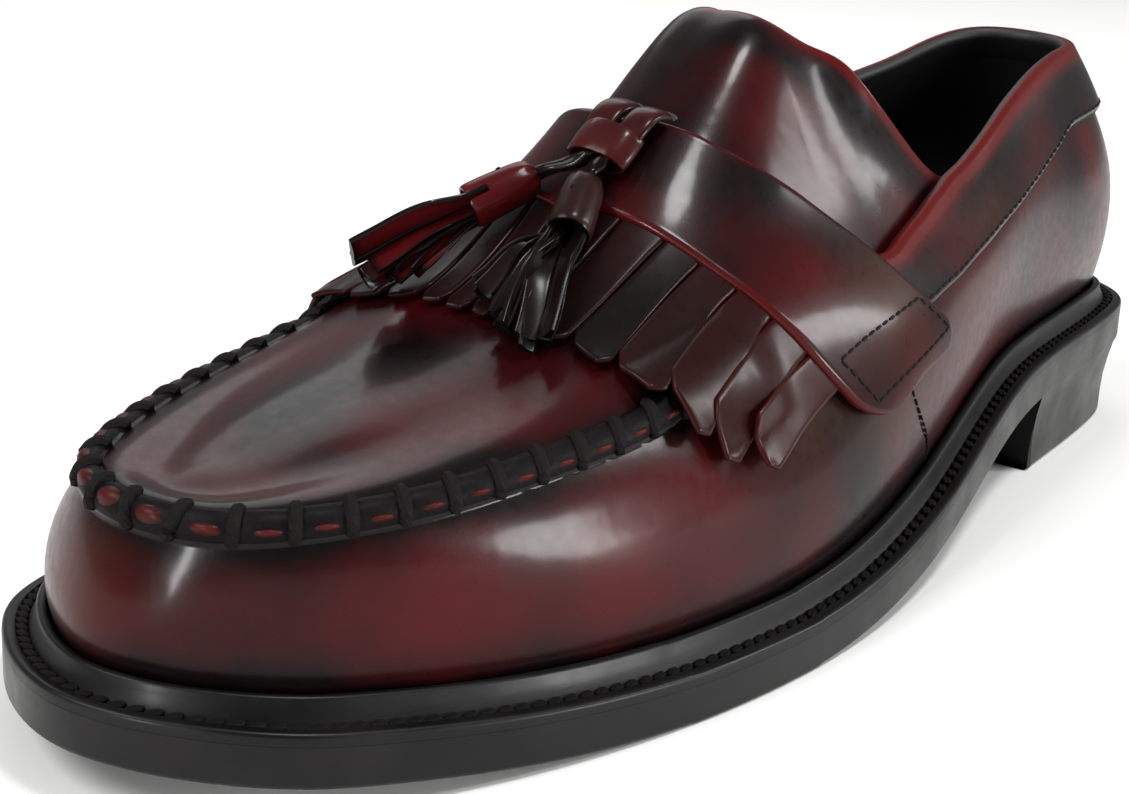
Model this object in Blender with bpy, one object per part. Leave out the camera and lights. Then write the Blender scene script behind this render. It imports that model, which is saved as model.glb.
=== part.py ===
"""A man's tassel loafer, the left shoe, as separate pieces. Metres, +Z up, toe towards -Y, outer side at +X.

Every curved piece is read from one surface of the last. Its parameter t counts columns round the shoe, from 0 at
the back of the heel along the outer side to 16 at the toe and back along the inner side to 32. Its parameter v
climbs from 0 at the feather edge to 1 at the crest of the instep or the topline of the collar.
"""

import math

import bmesh
import bpy
import numpy as np

# Driving sizes of the last and the bottom
LENGTH = 0.305
BALL_WIDTH = 0.110
UPPER_HEIGHT = 0.100
HEEL_HEIGHT = 0.018
HEEL_TAPER = 0.0025
HEEL_INSET = 0.0008
TOE_SPRING = 0.0077
OUTSOLE_THICKNESS = 0.0067
WELT_THICKNESS = 0.0021
WELT_WIDTH = 0.0085
EDGE_ROUND = 0.0006
BEAD_HEIGHT = 0.0035
BEAD_WIDTH = 0.0018
GROOVE_DEPTH = 0.0007
GROOVE_WIDTH = 0.0014
GROOVE_FROM_EDGE = 0.0022
INSOLE_THICKNESS = 0.003

# Driving sizes of the leather pieces
LEATHER = 0.0015
SEAM_HEIGHT = 0.0020
SEAM_WIDTH = 0.0050
TONGUE_THICKNESS = 0.0020
BAND_THICKNESS = 0.0012
STRIP_THICKNESS = 0.0010
STRIP_TOP_HALF = 0.0065
STRIP_FOOT_HALF = 0.0140
STRAP_THICKNESS = 0.0022
KILTIE_THICKNESS = 0.0012
SLIT_WIDTH = 0.0008
THONG_WIDTH = 0.0062
THONG_THICKNESS = 0.0020
WRAP_WIDTH = 0.0124
WRAP_HEIGHT = 0.0066
WRAP_LENGTH = 0.0070
CORD_RADIUS = 0.0013
CAP_RADIUS = 0.0041
CAP_LENGTH = 0.0128
FRINGE_WIDTH = 0.0034
FRINGE_THICKNESS = 0.0011

# Clearances: between meeting pieces, and under a piece that lies on faceted leather
GAP = 0.0003
LAY = 0.0006
WELD = 1e-5

TOE = 16
TONGUE_TOP = 8
THROAT_FRONT = 10.0


def columns(names, rows):
    """The columns of a table, by name."""
    return dict(zip(names.split(), np.array(rows, float).T))


# The sole's edge, a row for each column of the outer side: station as a share of LENGTH, half widths as shares of
# BALL_WIDTH, how far the upper swells past the feather, at what share of the way up to the seam line, and how much
# lower the inner side's topline lies, as a share of UPPER_HEIGHT
SOLE_EDGE = columns(
    "station outer inner swell_outer swell_inner swell_rise inner_drop",
    [
        (0.000, 0.000, 0.000, 0.024, 0.024, 0.45, 0.000),
        (0.030, 0.218, 0.195, 0.024, 0.024, 0.45, 0.000),
        (0.085, 0.297, 0.286, 0.025, 0.025, 0.45, 0.025),
        (0.170, 0.330, 0.330, 0.027, 0.027, 0.46, 0.060),
        (0.260, 0.360, 0.325, 0.029, 0.031, 0.46, 0.070),
        (0.340, 0.405, 0.307, 0.029, 0.038, 0.46, 0.050),
        (0.400, 0.444, 0.300, 0.027, 0.044, 0.46, 0.015),
        (0.450, 0.474, 0.307, 0.024, 0.044, 0.45, 0.000),
        (0.500, 0.496, 0.332, 0.020, 0.040, 0.43, 0.000),
        (0.560, 0.511, 0.373, 0.015, 0.033, 0.40, 0.000),
        (0.630, 0.512, 0.425, 0.011, 0.024, 0.40, 0.000),
        (0.700, 0.495, 0.464, 0.011, 0.015, 0.42, 0.000),
        (0.770, 0.458, 0.478, 0.012, 0.012, 0.42, 0.000),
        (0.840, 0.400, 0.464, 0.013, 0.012, 0.42, 0.000),
        (0.905, 0.322, 0.405, 0.014, 0.012, 0.42, 0.000),
        (0.960, 0.218, 0.277, 0.014, 0.013, 0.42, 0.000),
        (1.000, -0.018, 0.018, 0.014, 0.014, 0.42, 0.000),
    ],
)

# The last's long lines, a row for each column: station, half widths as shares of BALL_WIDTH, and height above the
# top of the welt as a share of UPPER_HEIGHT
LINE = "station outer inner rise"
SEAM_LINE = columns(
    LINE,
    [
        (0.020, 0.000, 0.000, 0.296),
        (0.040, 0.173, 0.160, 0.296),
        (0.093, 0.245, 0.238, 0.298),
        (0.170, 0.270, 0.270, 0.295),
        (0.262, 0.311, 0.293, 0.285),
        (0.342, 0.351, 0.304, 0.293),
        (0.400, 0.373, 0.309, 0.322),
        (0.450, 0.382, 0.318, 0.358),
        (0.500, 0.377, 0.332, 0.402),
        (0.565, 0.359, 0.341, 0.439),
        (0.640, 0.344, 0.344, 0.424),
        (0.710, 0.338, 0.338, 0.379),
        (0.785, 0.313, 0.311, 0.348),
        (0.857, 0.267, 0.269, 0.316),
        (0.912, 0.202, 0.205, 0.293),
        (0.944, 0.123, 0.127, 0.280),
        (0.957, 0.000, 0.000, 0.275),
    ],
)
LOW_LINE = columns(
    LINE,
    [
        (0.032, 0.000, 0.000, 0.426),
        (0.053, 0.147, 0.138, 0.427),
        (0.102, 0.211, 0.204, 0.429),
        (0.170, 0.236, 0.236, 0.420),
        (0.263, 0.282, 0.273, 0.396),
        (0.344, 0.322, 0.293, 0.379),
        (0.402, 0.330, 0.289, 0.418),
        (0.452, 0.309, 0.276, 0.499),
        (0.497, 0.273, 0.244, 0.575),
        (0.558, 0.259, 0.236, 0.567),
        (0.634, 0.232, 0.223, 0.529),
        (0.704, 0.214, 0.209, 0.455),
        (0.776, 0.198, 0.195, 0.398),
        (0.842, 0.171, 0.171, 0.354),
        (0.893, 0.127, 0.129, 0.321),
        (0.926, 0.076, 0.076, 0.300),
        (0.937, 0.000, 0.000, 0.294),
    ],
)
HIGH_LINE = columns(
    LINE,
    [
        (0.046, 0.000, 0.000, 0.516),
        (0.066, 0.122, 0.116, 0.517),
        (0.111, 0.175, 0.171, 0.519),
        (0.170, 0.204, 0.204, 0.505),
        (0.263, 0.257, 0.245, 0.471),
        (0.345, 0.296, 0.273, 0.440),
        (0.404, 0.285, 0.259, 0.528),
        (0.451, 0.236, 0.214, 0.669),
        (0.491, 0.132, 0.114, 0.850),
        (0.554, 0.127, 0.114, 0.751),
        (0.628, 0.114, 0.109, 0.610),
        (0.696, 0.104, 0.102, 0.492),
        (0.766, 0.095, 0.095, 0.425),
        (0.832, 0.082, 0.083, 0.380),
        (0.882, 0.062, 0.063, 0.338),
        (0.908, 0.036, 0.036, 0.317),
        (0.918, 0.000, 0.000, 0.311),
    ],
)
CREST = columns(
    LINE,
    [
        (0.056, 0.000, 0.000, 0.567),
        (0.075, 0.105, 0.102, 0.568),
        (0.117, 0.153, 0.149, 0.571),
        (0.170, 0.185, 0.182, 0.565),
        (0.263, 0.244, 0.227, 0.526),
        (0.345, 0.282, 0.258, 0.475),
        (0.405, 0.259, 0.236, 0.620),
        (0.452, 0.186, 0.164, 0.794),
        (0.485, 0.000, 0.000, 0.901),
        (0.550, 0.000, 0.000, 0.809),
        (0.622, 0.000, 0.000, 0.642),
        (0.688, 0.000, 0.000, 0.504),
        (0.757, 0.000, 0.000, 0.437),
        (0.820, 0.000, 0.000, 0.392),
        (0.868, 0.000, 0.000, 0.353),
        (0.892, 0.000, 0.000, 0.331),
        (0.900, 0.000, 0.000, 0.325),
    ],
)

# The v of each long line from feather to crest, and its part in the inner side's drop
LEVELS = np.array([0.0, 0.2, 0.42, 0.62, 0.82, 1.0])
DROP_PARTS = {"low": 0.6, "high": 0.9, "crest": 1.0}
SEAM_LEVEL = 0.42

# The bottom of the sole along the shoe: its rise as shares of HEEL_HEIGHT and of TOE_SPRING, flat at the ball
PROFILE = columns(
    "station heel spring",
    [
        (0.00, 1.02, 0.00),
        (0.12, 1.00, 0.00),
        (0.26, 0.94, 0.00),
        (0.36, 0.70, 0.00),
        (0.46, 0.36, 0.00),
        (0.56, 0.09, 0.00),
        (0.64, 0.00, 0.00),
        (0.70, 0.00, 0.00),
        (0.78, 0.00, 0.10),
        (0.86, 0.00, 0.33),
        (0.93, 0.00, 0.62),
        (1.00, 0.00, 1.00),
    ],
)
FLAT_FROM = 0.62
FLAT_TO = 0.73
BREAST_TOP = 0.236
BREAST_FOOT = 0.228

# Edges drawn on the last: v of the quarter's edge at the collar and throat, and of the collar band's lower edge
QUARTER_EDGE = columns(
    "t v",
    [
        (0.00, 1.00),
        (5.05, 1.00),
        (5.15, 0.936),
        (5.63, 0.787),
        (6.26, 0.681),
        (6.81, 0.588),
        (7.35, 0.522),
        (8.00, 0.50),
        (9.00, 0.52),
        (9.60, 0.70),
        (10.0, 1.00),
    ],
)
BAND_EDGE = columns(
    "t v",
    [
        (0.00, 0.630),
        (2.80, 0.630),
        (3.14, 0.588),
        (3.68, 0.549),
        (4.19, 0.527),
        (4.72, 0.519),
        (5.32, 0.494),
        (6.01, 0.446),
        (6.66, 0.419),
        (6.93, 0.406),
    ],
)
BAND_FRONT_TOP = 7.60
# The strap's back and front edges, from its sewn end up to the crest
STRAP_BACK = columns(
    "v t",
    [
        (0.338, 6.42),
        (0.36, 6.57),
        (0.44, 7.29),
        (0.53, 7.85),
        (0.61, 8.39),
        (0.69, 8.81),
        (0.77, 9.10),
        (0.87, 9.29),
        (1.00, 9.45),
    ],
)
STRAP_FRONT = columns(
    "v t",
    [
        (0.25, 8.65),
        (0.27, 8.78),
        (0.35, 9.18),
        (0.45, 9.47),
        (0.57, 9.69),
        (0.71, 9.88),
        (0.85, 10.05),
        (1.00, 10.20),
    ],
)
# The kiltie's slits from the middle outwards, v at the root and at the tip, and how far each strip reaches
SLITS = columns(
    "root tip",
    [
        (1.000, 1.000),
        (0.914, 0.914),
        (0.828, 0.828),
        (0.722, 0.683),
        (0.633, 0.555),
        (0.535, 0.459),
        (0.450, 0.392),
        (0.378, 0.351),
        (0.320, 0.284),
    ],
)
STRIP_REACH = [11.40, 11.32, 11.20, 11.11, 11.00, 10.82, 10.60, 10.25]
ROOT_BAND = 0.07

# Where the knot's wrap sits on the strap, as column and level
WRAP_PLACE = (9.74, 0.940)
# The tassels: each cap's two ends and each cut strip's tip, as column, level and lift above the last in metres
NEAR_CAP = [(10.02, 0.925, 0.0062), (10.47, 0.862, 0.0068)]
NEAR_TIPS = [
    (11.29, 0.700, 0.0040),
    (11.42, 0.742, 0.0036),
    (11.50, 0.785, 0.0046),
    (11.50, 0.824, 0.0036),
    (11.42, 0.862, 0.0046),
    (11.30, 0.895, 0.0040),
    (11.10, 0.920, 0.0056),
    (11.30, 0.960, 0.0044),
    (11.22, 1.000, 0.0040),
]
FAR_CAP = [(21.93, 0.930, 0.0062), (21.52, 0.835, 0.0082)]
FAR_TIPS = [
    (20.60, 0.700, 0.0121),
    (20.66, 0.735, 0.0090),
    (20.72, 0.670, 0.0062),
    (20.82, 0.715, 0.0056),
    (20.80, 0.760, 0.0062),
    (20.92, 0.800, 0.0060),
]


def knot_slopes(knots, values, first=None, last=None, closed=False):
    """Slopes at the knots that make the cubic pieces through the values bend without a jump."""
    count = len(knots)
    steps = np.diff(knots)
    shape = (-1,) + (1,) * (values.ndim - 1)
    rates = np.diff(values, axis=0) / steps.reshape(shape)
    matrix = np.zeros((count, count))
    right = np.zeros_like(values)
    for i in range(1, count - 1):
        matrix[i, i - 1 : i + 2] = steps[i], 2 * (steps[i - 1] + steps[i]), steps[i - 1]
        right[i] = 3 * (steps[i] * rates[i - 1] + steps[i - 1] * rates[i])
    if closed:
        matrix[0, 0] = 2 * (steps[-1] + steps[0])
        matrix[0, 1] = steps[-1]
        matrix[0, count - 2] = steps[0]
        right[0] = 3 * (steps[0] * rates[-1] + steps[-1] * rates[0])
        matrix[-1, -1] = 1
        matrix[-1, 0] = -1
    else:
        matrix[0, :2] = (2, 1) if first is None else (1, 0)
        right[0] = 3 * rates[0] if first is None else first
        matrix[-1, -2:] = (1, 2) if last is None else (0, 1)
        right[-1] = 3 * rates[-1] if last is None else last
    return np.linalg.solve(matrix, right.reshape(count, -1)).reshape(values.shape)


def cubic(knots, values, slopes, where):
    """The cubic pieces at each number of where. With values[k, n] there is one number for each n."""
    piece = np.clip(np.searchsorted(knots, where, side="right") - 1, 0, len(knots) - 2)
    step = np.diff(knots)[piece]
    u = (where - knots[piece]) / step
    if values.ndim == 3:
        own = np.arange(len(where))
        low, high = values[piece, own], values[piece + 1, own]
        slope_low, slope_high = slopes[piece, own], slopes[piece + 1, own]
    else:
        low, high = values[piece], values[piece + 1]
        slope_low, slope_high = slopes[piece], slopes[piece + 1]
    if low.ndim == 2:
        u, step = u[:, None], step[:, None]
    return (
        (1 + 2 * u) * (1 - u) ** 2 * low
        + u * (1 - u) ** 2 * step * slope_low
        + u * u * (3 - 2 * u) * high
        - u * u * (1 - u) * step * slope_high
    )


def smooth(share):
    """A soft step from 0 to 1."""
    share = np.clip(share, 0, 1)
    return share * share * (3 - 2 * share)


def sole_bottom(y):
    """Height of the sole's underside at y: arch and heel seat behind the ball, toe spring before it."""
    station = np.clip(0.5 - y / LENGTH, 0, 1)
    heel, spring = (
        cubic(PROFILE["station"], PROFILE[name], knot_slopes(PROFILE["station"], PROFILE[name], first=0.0), station)
        for name in ("heel", "spring")
    )
    heel = np.where(station < FLAT_FROM, np.clip(heel, 0, None), 0)
    spring = np.where(station > FLAT_TO, np.clip(spring, 0, None), 0)
    return HEEL_HEIGHT * heel + TOE_SPRING * spring


def loop_of(line, heights):
    """The closed loop of a line's knots: outer side from heel to toe, then the inner side back."""
    y = LENGTH * (0.5 - line["station"])
    outer = np.column_stack([BALL_WIDTH * line["outer"], y, heights[0]])
    inner = np.column_stack([-BALL_WIDTH * line["inner"], y, heights[1]])
    return np.concatenate([outer, inner[TOE - 1 :: -1]])


def line_loop(line, drop_part=0.0):
    """The knots of one of the last's long lines."""
    y = LENGTH * (0.5 - line["station"])
    z = sole_bottom(y) + WELT_TOP + UPPER_HEIGHT * line["rise"]
    return loop_of(line, (z, z - UPPER_HEIGHT * drop_part * SOLE_EDGE["inner_drop"]))


KNOTS = np.arange(2.0 * TOE + 1)
WELT_TOP = OUTSOLE_THICKNESS + GAP + WELT_THICKNESS
UPPER_FOOT = OUTSOLE_THICKNESS + GAP
EDGE_LOOP = loop_of(SOLE_EDGE, (np.zeros(TOE + 1), np.zeros(TOE + 1)))
EDGE_SLOPES = knot_slopes(KNOTS, EDGE_LOOP, closed=True)


def sole_edge(t):
    """Points on the sole's outline, at height 0."""
    return cubic(KNOTS, EDGE_LOOP, EDGE_SLOPES, np.mod(t, 2 * TOE))


def outward(t, step=1e-3):
    """Level unit vectors pointing out of the sole's outline."""
    along = sole_edge(t + step) - sole_edge(t - step)
    across = np.column_stack([-along[:, 1], along[:, 0], np.zeros(len(along))])
    return across / np.linalg.norm(across, axis=1, keepdims=True)


def feather(t):
    """Where the upper meets the top of the welt."""
    points = sole_edge(t) - WELT_WIDTH * outward(t)
    points[:, 2] = sole_bottom(points[:, 1]) + WELT_TOP
    return points


def swell(foot, seam):
    """The line of the upper's greatest width, between the feather and the seam line."""
    sides = [SOLE_EDGE["swell_outer"], SOLE_EDGE["swell_inner"][TOE - 1 :: -1]]
    rises = [SOLE_EDGE["swell_rise"], SOLE_EDGE["swell_rise"][TOE - 1 :: -1]]
    points = foot + BALL_WIDTH * np.concatenate(sides)[:, None] * outward(KNOTS)
    points[:, 2] = foot[:, 2] + np.concatenate(rises) * (seam[:, 2] - foot[:, 2])
    return points


def last_lines():
    """Knots and slopes of the six loops from the feather to the crest."""
    foot = feather(KNOTS)
    seam = line_loop(SEAM_LINE)
    loops = [
        foot,
        swell(foot, seam),
        seam,
        line_loop(LOW_LINE, DROP_PARTS["low"]),
        line_loop(HIGH_LINE, DROP_PARTS["high"]),
        line_loop(CREST, DROP_PARTS["crest"]),
    ]
    return [(loop, knot_slopes(KNOTS, loop, closed=True)) for loop in loops]


LINES = last_lines()
CREST_STEP = LEVELS[5] - LEVELS[4]


def on_line(number, t):
    """Points of one loop at columns t."""
    return cubic(KNOTS, *LINES[number], np.mod(t, 2 * TOE))


def last(t, v):
    """Points of the last at columns t and levels v, level over the crest where both sides meet."""
    t, v = np.broadcast_arrays(np.asarray(t, float), np.asarray(v, float))
    shape = t.shape
    t, v = t.ravel(), v.ravel()
    lines = np.array([on_line(number, t) for number in range(6)])
    column = TOE - np.abs(np.mod(t, 2 * TOE) - TOE)
    meets = column >= TONGUE_TOP - 1e-9
    other = on_line(5, 2 * TOE - t)
    lines[5, meets] = (lines[5, meets] + other[meets]) / 2
    lines[5, meets, 0] = 0
    over = (on_line(4, 2 * TOE - t) - lines[4]) / (2 * CREST_STEP)
    straight = (lines[5] - lines[4]) / CREST_STEP
    share = smooth((column - (TONGUE_TOP - 1.2)) / 1.2)[:, None]
    slopes = knot_slopes(LEVELS, lines, last=share * over + (1 - share) * straight)
    return cubic(LEVELS, lines, slopes, v).reshape(shape + (3,))


def normals(t, v, step=1e-3):
    """Unit vectors out of the last."""
    t, v = np.broadcast_arrays(np.asarray(t, float), np.asarray(v, float))
    up = last(t, v + step / 5) - last(t, v - step / 5)
    forth = last(t + step, v) - last(t - step, v)
    out = np.cross(up, forth)
    column = TOE - np.abs(np.mod(t, 2 * TOE) - TOE)
    out[..., 0] = np.where((v > 1 - 1e-9) & (column >= TONGUE_TOP - 1e-9), 0, out[..., 0])
    return out / np.linalg.norm(out, axis=-1, keepdims=True)


def lifted(t, v, lift):
    """Points above the last by lift, which has one number for each point or for all."""
    return last(t, v) + np.asarray(lift)[..., None] * normals(t, v)


def arc_per_level(t, v, step=1e-3):
    """How far the last's surface runs for each unit of v."""
    return np.linalg.norm(last(t, v + step) - last(t, v - step), axis=-1) / (2 * step)


def seam_ridge(t, v, width=SEAM_WIDTH):
    """Height of the raised apron seam, which fades in under the strap and runs round the toe."""
    column = TOE - np.abs(np.mod(t, 2 * TOE) - TOE)
    away = np.abs(v - SEAM_LEVEL) * arc_per_level(t, np.full_like(t, SEAM_LEVEL)) / (width / 2)
    return SEAM_HEIGHT * smooth((column - 9.5) / 0.5) * np.clip(1 - away * away, 0, 1)


def material(name, colour, roughness):
    """A plain leather finish."""
    made = bpy.data.materials.new(name)
    made.use_nodes = True
    shader = made.node_tree.nodes["Principled BSDF"]
    shader.inputs["Base Color"].default_value = (*colour, 1)
    shader.inputs["Roughness"].default_value = roughness
    shader.inputs["Metallic"].default_value = 0.0
    return made


OXBLOOD = (0.085, 0.008, 0.008)
RED_EDGE = (0.30, 0.015, 0.012)
DARK_OXBLOOD = (0.045, 0.006, 0.006)
SOLE_BLACK = (0.010, 0.009, 0.009)
LINING = (0.020, 0.015, 0.014)
TASSEL_BROWN = (0.110, 0.030, 0.024)


def solid(name, points, faces, colour, roughness=0.3, helper=False):
    """An object of these faces, its points moved so that the sole's outline is centred on the origin."""
    mesh = bpy.data.meshes.new(name)
    mesh.from_pydata((np.asarray(points) - CENTRE).tolist(), [], faces)
    made = bmesh.new()
    made.from_mesh(mesh)
    loose = [vert for vert in made.verts if not vert.link_faces]
    bmesh.ops.delete(made, geom=loose, context="VERTS")
    bmesh.ops.recalc_face_normals(made, faces=made.faces)
    made.to_mesh(mesh)
    made.free()
    mesh.shade_smooth()
    mesh.set_sharp_from_angle(angle=math.radians(38))
    thing = bpy.data.objects.new(name, mesh)
    mesh.materials.append(material(name, colour, roughness))
    bpy.context.scene.collection.objects.link(thing)
    if helper:
        thing.hide_render = True
        thing.display_type = "WIRE"
    return thing


def wall(name, outer, inner, colour, roughness=0.3, cells=None):
    """A wall between two grids of points, with a rim along every edge of its cells."""
    rows, across = outer.shape[:2]
    points = outer.reshape(-1, 3)
    _, first, same = np.unique(np.round(points / WELD), axis=0, return_index=True, return_inverse=True)
    number = first[same.reshape(-1)].reshape(rows, across)
    shift = rows * across
    sheet = []
    for i in range(rows - 1):
        for j in range(across - 1):
            if cells is not None and not cells[i, j]:
                continue
            corners = [number[i, j], number[i + 1, j], number[i + 1, j + 1], number[i, j + 1]]
            kept = [int(c) for k, c in enumerate(corners) if c != corners[k - 1]]
            if len(kept) > 2:
                sheet.append(kept)
    edges = {(face[k - 1], face[k]) for face in sheet for k in range(len(face))}
    rim = [[b, a, a + shift, b + shift] for a, b in edges if (b, a) not in edges]
    back = [[corner + shift for corner in reversed(face)] for face in sheet]
    both = np.concatenate([points, inner.reshape(-1, 3)])
    return solid(name, both, sheet + sorted(rim) + back, colour, roughness)


def layers(name, rings, colour, roughness):
    """A solid through level rings, closed at both ends by rungs from side to side."""
    count = len(rings[0])
    faces = []
    for level in range(len(rings) - 1):
        for k in range(count):
            a, b = level * count + k, level * count + (k + 1) % count
            faces.append([a, b, b + count, a + count])
    for base in (0, (len(rings) - 1) * count):
        for k in range((count + 1) // 2):
            corners = [k, k + 1, (count - k - 1) % count, (count - k) % count]
            kept = [base + c for i, c in enumerate(corners) if c not in corners[:i]]
            if len(kept) > 2:
                faces.append(kept)
    return solid(name, np.concatenate(rings), faces, colour, roughness)


def side_columns():
    """The columns of the outer side: close together round heel, throat and toe."""
    heel = [0, 0.25, 0.5, 0.75, 1, 1.35, 1.7, 2.1, 2.6, 3.2, 3.8, 4.4]
    throat = [5.05, 5.15, 5.4, 5.7, 6.0, 6.4, 6.8, 7.2, 7.6, 8, 8.4, 8.8, 9.2, 9.5, 9.75, 10]
    toe = [10.4, 10.8, 11.3, 11.8, 12.3, 12.8, 13.3, 13.7, 14.1, 14.5, 14.8, 15.1, 15.4, 15.7, 16]
    return np.array(heel + throat + toe)


SIDE = side_columns()
ROUND = np.concatenate([SIDE, 2 * TOE - SIDE[-2::-1]])
RING = ROUND[:-1]
CENTRE = np.append((sole_edge(RING).max(axis=0) + sole_edge(RING).min(axis=0))[:2] / 2, 0)


def at_sole(t, inset, height):
    """Points inside the sole's edge by inset, at a height above the sole's underside."""
    points = sole_edge(t) - inset * outward(t)
    points[:, 2] = sole_bottom(points[:, 1]) + height
    return points


def outsole():
    """The sole itself, with eased edges."""
    rows = [
        (EDGE_ROUND, 0),
        (0, EDGE_ROUND),
        (0, OUTSOLE_THICKNESS - EDGE_ROUND),
        (EDGE_ROUND / 2, OUTSOLE_THICKNESS),
    ]
    layers("outsole", [at_sole(RING, inset, height) for inset, height in rows], SOLE_BLACK, 0.35)


def heel():
    """The heel block: a straight breast, and sides that taper to the ground."""
    fine = np.linspace(2, 6, 401)
    edge = sole_edge(fine)[:, 1]
    breast_column = float(np.interp(-LENGTH * (0.5 - BREAST_TOP), -edge, fine))
    side = np.append(SIDE[SIDE < breast_column - 0.1], breast_column)
    ring = np.concatenate([side, 2 * TOE - side[:0:-1]])
    top = at_sole(ring, HEEL_INSET, -GAP)
    foot = sole_edge(ring) - HEEL_TAPER * outward(ring)
    corners = [len(side) - 1, len(side)]
    top[corners, 1] = LENGTH * (0.5 - BREAST_TOP)
    top[:, 2] = sole_bottom(top[:, 1]) - GAP
    foot[corners, 1] = LENGTH * (0.5 - BREAST_FOOT)
    ground = foot.copy()
    ground[:, :2] += EDGE_ROUND * (top - foot)[:, :2] / HEEL_HEIGHT
    ground -= EDGE_ROUND * outward(ring)
    foot[:, 2] = EDGE_ROUND
    layers("heel", [ground, foot, top], SOLE_BLACK, 0.4)


def level_at(t, rise):
    """The v at which the last has risen this far above the welt's top."""
    levels = np.linspace(0, 0.25, 26)
    heights = last(t[:, None], levels)[..., 2] - feather(t)[:, 2:]
    return np.array([np.interp(rise, row, levels) for row in heights])


def welt():
    """The welt: a rim flush with the sole's edge, a stitching groove, and a bead standing against the upper."""
    foot, out = feather(ROUND), outward(ROUND)
    lean = last(ROUND, level_at(ROUND, BEAD_HEIGHT)) - foot
    lean = (lean * out).sum(axis=1, keepdims=True) * out
    groove = WELT_WIDTH - GROOVE_FROM_EDGE
    bead_top = WELT_TOP + BEAD_HEIGHT
    profile = [
        (GAP, 0, UPPER_FOOT),
        (WELT_WIDTH, 0, UPPER_FOOT),
        (WELT_WIDTH, 0, WELT_TOP - EDGE_ROUND),
        (WELT_WIDTH - EDGE_ROUND, 0, WELT_TOP),
        (groove, 0, WELT_TOP),
        (groove - GROOVE_WIDTH / 2, 0, WELT_TOP - GROOVE_DEPTH),
        (groove - GROOVE_WIDTH, 0, WELT_TOP),
        (GAP + BEAD_WIDTH, 0.3, WELT_TOP),
        (GAP + BEAD_WIDTH * 0.9, 1, bead_top - EDGE_ROUND),
        (LAY + BEAD_WIDTH * 0.3, 1, bead_top),
        (LAY, 1, bead_top - EDGE_ROUND / 2),
        (GAP, 0, WELT_TOP),
    ]
    rows = []
    for away, leaning, height in profile:
        row = foot + away * out + leaning * lean
        row[:, 2] = sole_bottom(row[:, 1]) + height
        rows.append(row)
    count, long = len(rows), len(RING)
    faces = []
    for k in range(count):
        for i in range(long):
            j = (i + 1) % long
            a, b = k * long, ((k + 1) % count) * long
            faces.append([a + i, a + j, b + j, b + i])
    solid("welt", np.concatenate([row[:-1] for row in rows]), faces, SOLE_BLACK, 0.4)


def insole():
    """The sock that covers the bottom inside."""
    inset = WELT_WIDTH + LEATHER + 2 * GAP
    rings = [at_sole(RING, inset, UPPER_FOOT + height) for height in (0, INSOLE_THICKNESS)]
    layers("insole", rings, LINING, 0.6)


def quarter_edge(t):
    """The v of the upper's free edge at collar and throat; 1 where the vamp closes over the crest."""
    column = TOE - np.abs(np.mod(t, 2 * TOE) - TOE)
    return np.where(column >= THROAT_FRONT, 1.0, np.interp(column, QUARTER_EDGE["t"], QUARTER_EDGE["v"]))


def upper():
    """Vamp, apron and quarters as one hollow wall, open at collar, throat and underneath."""
    half = SEAM_WIDTH / 2 / arc_per_level(ROUND, np.full_like(ROUND, SEAM_LEVEL))
    low = [np.full_like(ROUND, level) for level in (0, 0.06, 0.15, 0.25, 0.345)]
    ridge = [SEAM_LEVEL - half, SEAM_LEVEL + 0 * half, SEAM_LEVEL + half]
    top = quarter_edge(ROUND)
    high = [ridge[2] + share * (top - ridge[2]) for share in (0.18, 0.36, 0.55, 0.76, 1.0)]
    v = np.array(low + ridge + high)
    t = np.broadcast_to(ROUND, v.shape)
    skin, out = last(t, v), normals(t, v)
    outer = skin + seam_ridge(t, v)[..., None] * out
    inner = skin - LEATHER * out
    foot, foot_in = outer[:1].copy(), outer[:1] - LEATHER * outward(ROUND)
    for row in (foot, foot_in):
        row[..., 2] = (sole_bottom(feather(ROUND)[:, 1]) + UPPER_FOOT)[None]
    wall("upper", np.concatenate([foot, outer]), np.concatenate([foot_in, inner]), OXBLOOD, 0.18)


def tongue():
    """The tongue under throat and strap, its back edge standing above the quarters."""
    side = SIDE[(SIDE >= 5.05) & (SIDE < THROAT_FRONT)]
    under = np.where(side <= TONGUE_TOP, quarter_edge(side), 0.5) - 0.13
    shares = np.array([0, 0.2, 0.4, 0.6, 0.8, 1.0])[:, None]
    v = under + shares * (1 - under)
    t = np.broadcast_to(side, v.shape)
    t = np.concatenate([t, 2 * TOE - t[::-1]])
    v = np.concatenate([v, v[::-1]])
    cells = np.ones((len(v) - 1, v.shape[1] - 1), bool)
    cells[len(shares) - 1] = False
    depth = -(LEATHER + LAY + GAP)
    outer = lifted(t, v, np.full_like(v, depth))
    inner = lifted(t, v, np.full_like(v, depth - TONGUE_THICKNESS))
    wall("tongue", outer, inner, OXBLOOD, 0.25, cells)


def collar_band():
    """The band sewn round the collar, from the strap's back edge on one side to the other."""
    edge_t, front = BAND_EDGE["t"][-1], BAND_FRONT_TOP
    shared = SIDE[(SIDE < 6.2)]
    low = np.append(shared, [6.48, edge_t])
    high = np.append(shared, [6.75, front])
    low, high = np.concatenate([-low[:0:-1], low]), np.concatenate([-high[:0:-1], high])
    shares = np.array([0, 0.34, 0.68, 1.0])[:, None]
    v_low = np.interp(np.abs(low), BAND_EDGE["t"], BAND_EDGE["v"])
    t = low + shares * (high - low)
    v = v_low + shares * (quarter_edge(high) - v_low)
    outer = lifted(t, v, np.full_like(v, LAY + BAND_THICKNESS))
    wall("collar_band", outer, lifted(t, v, np.full_like(v, LAY)), OXBLOOD, 0.2)


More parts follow.
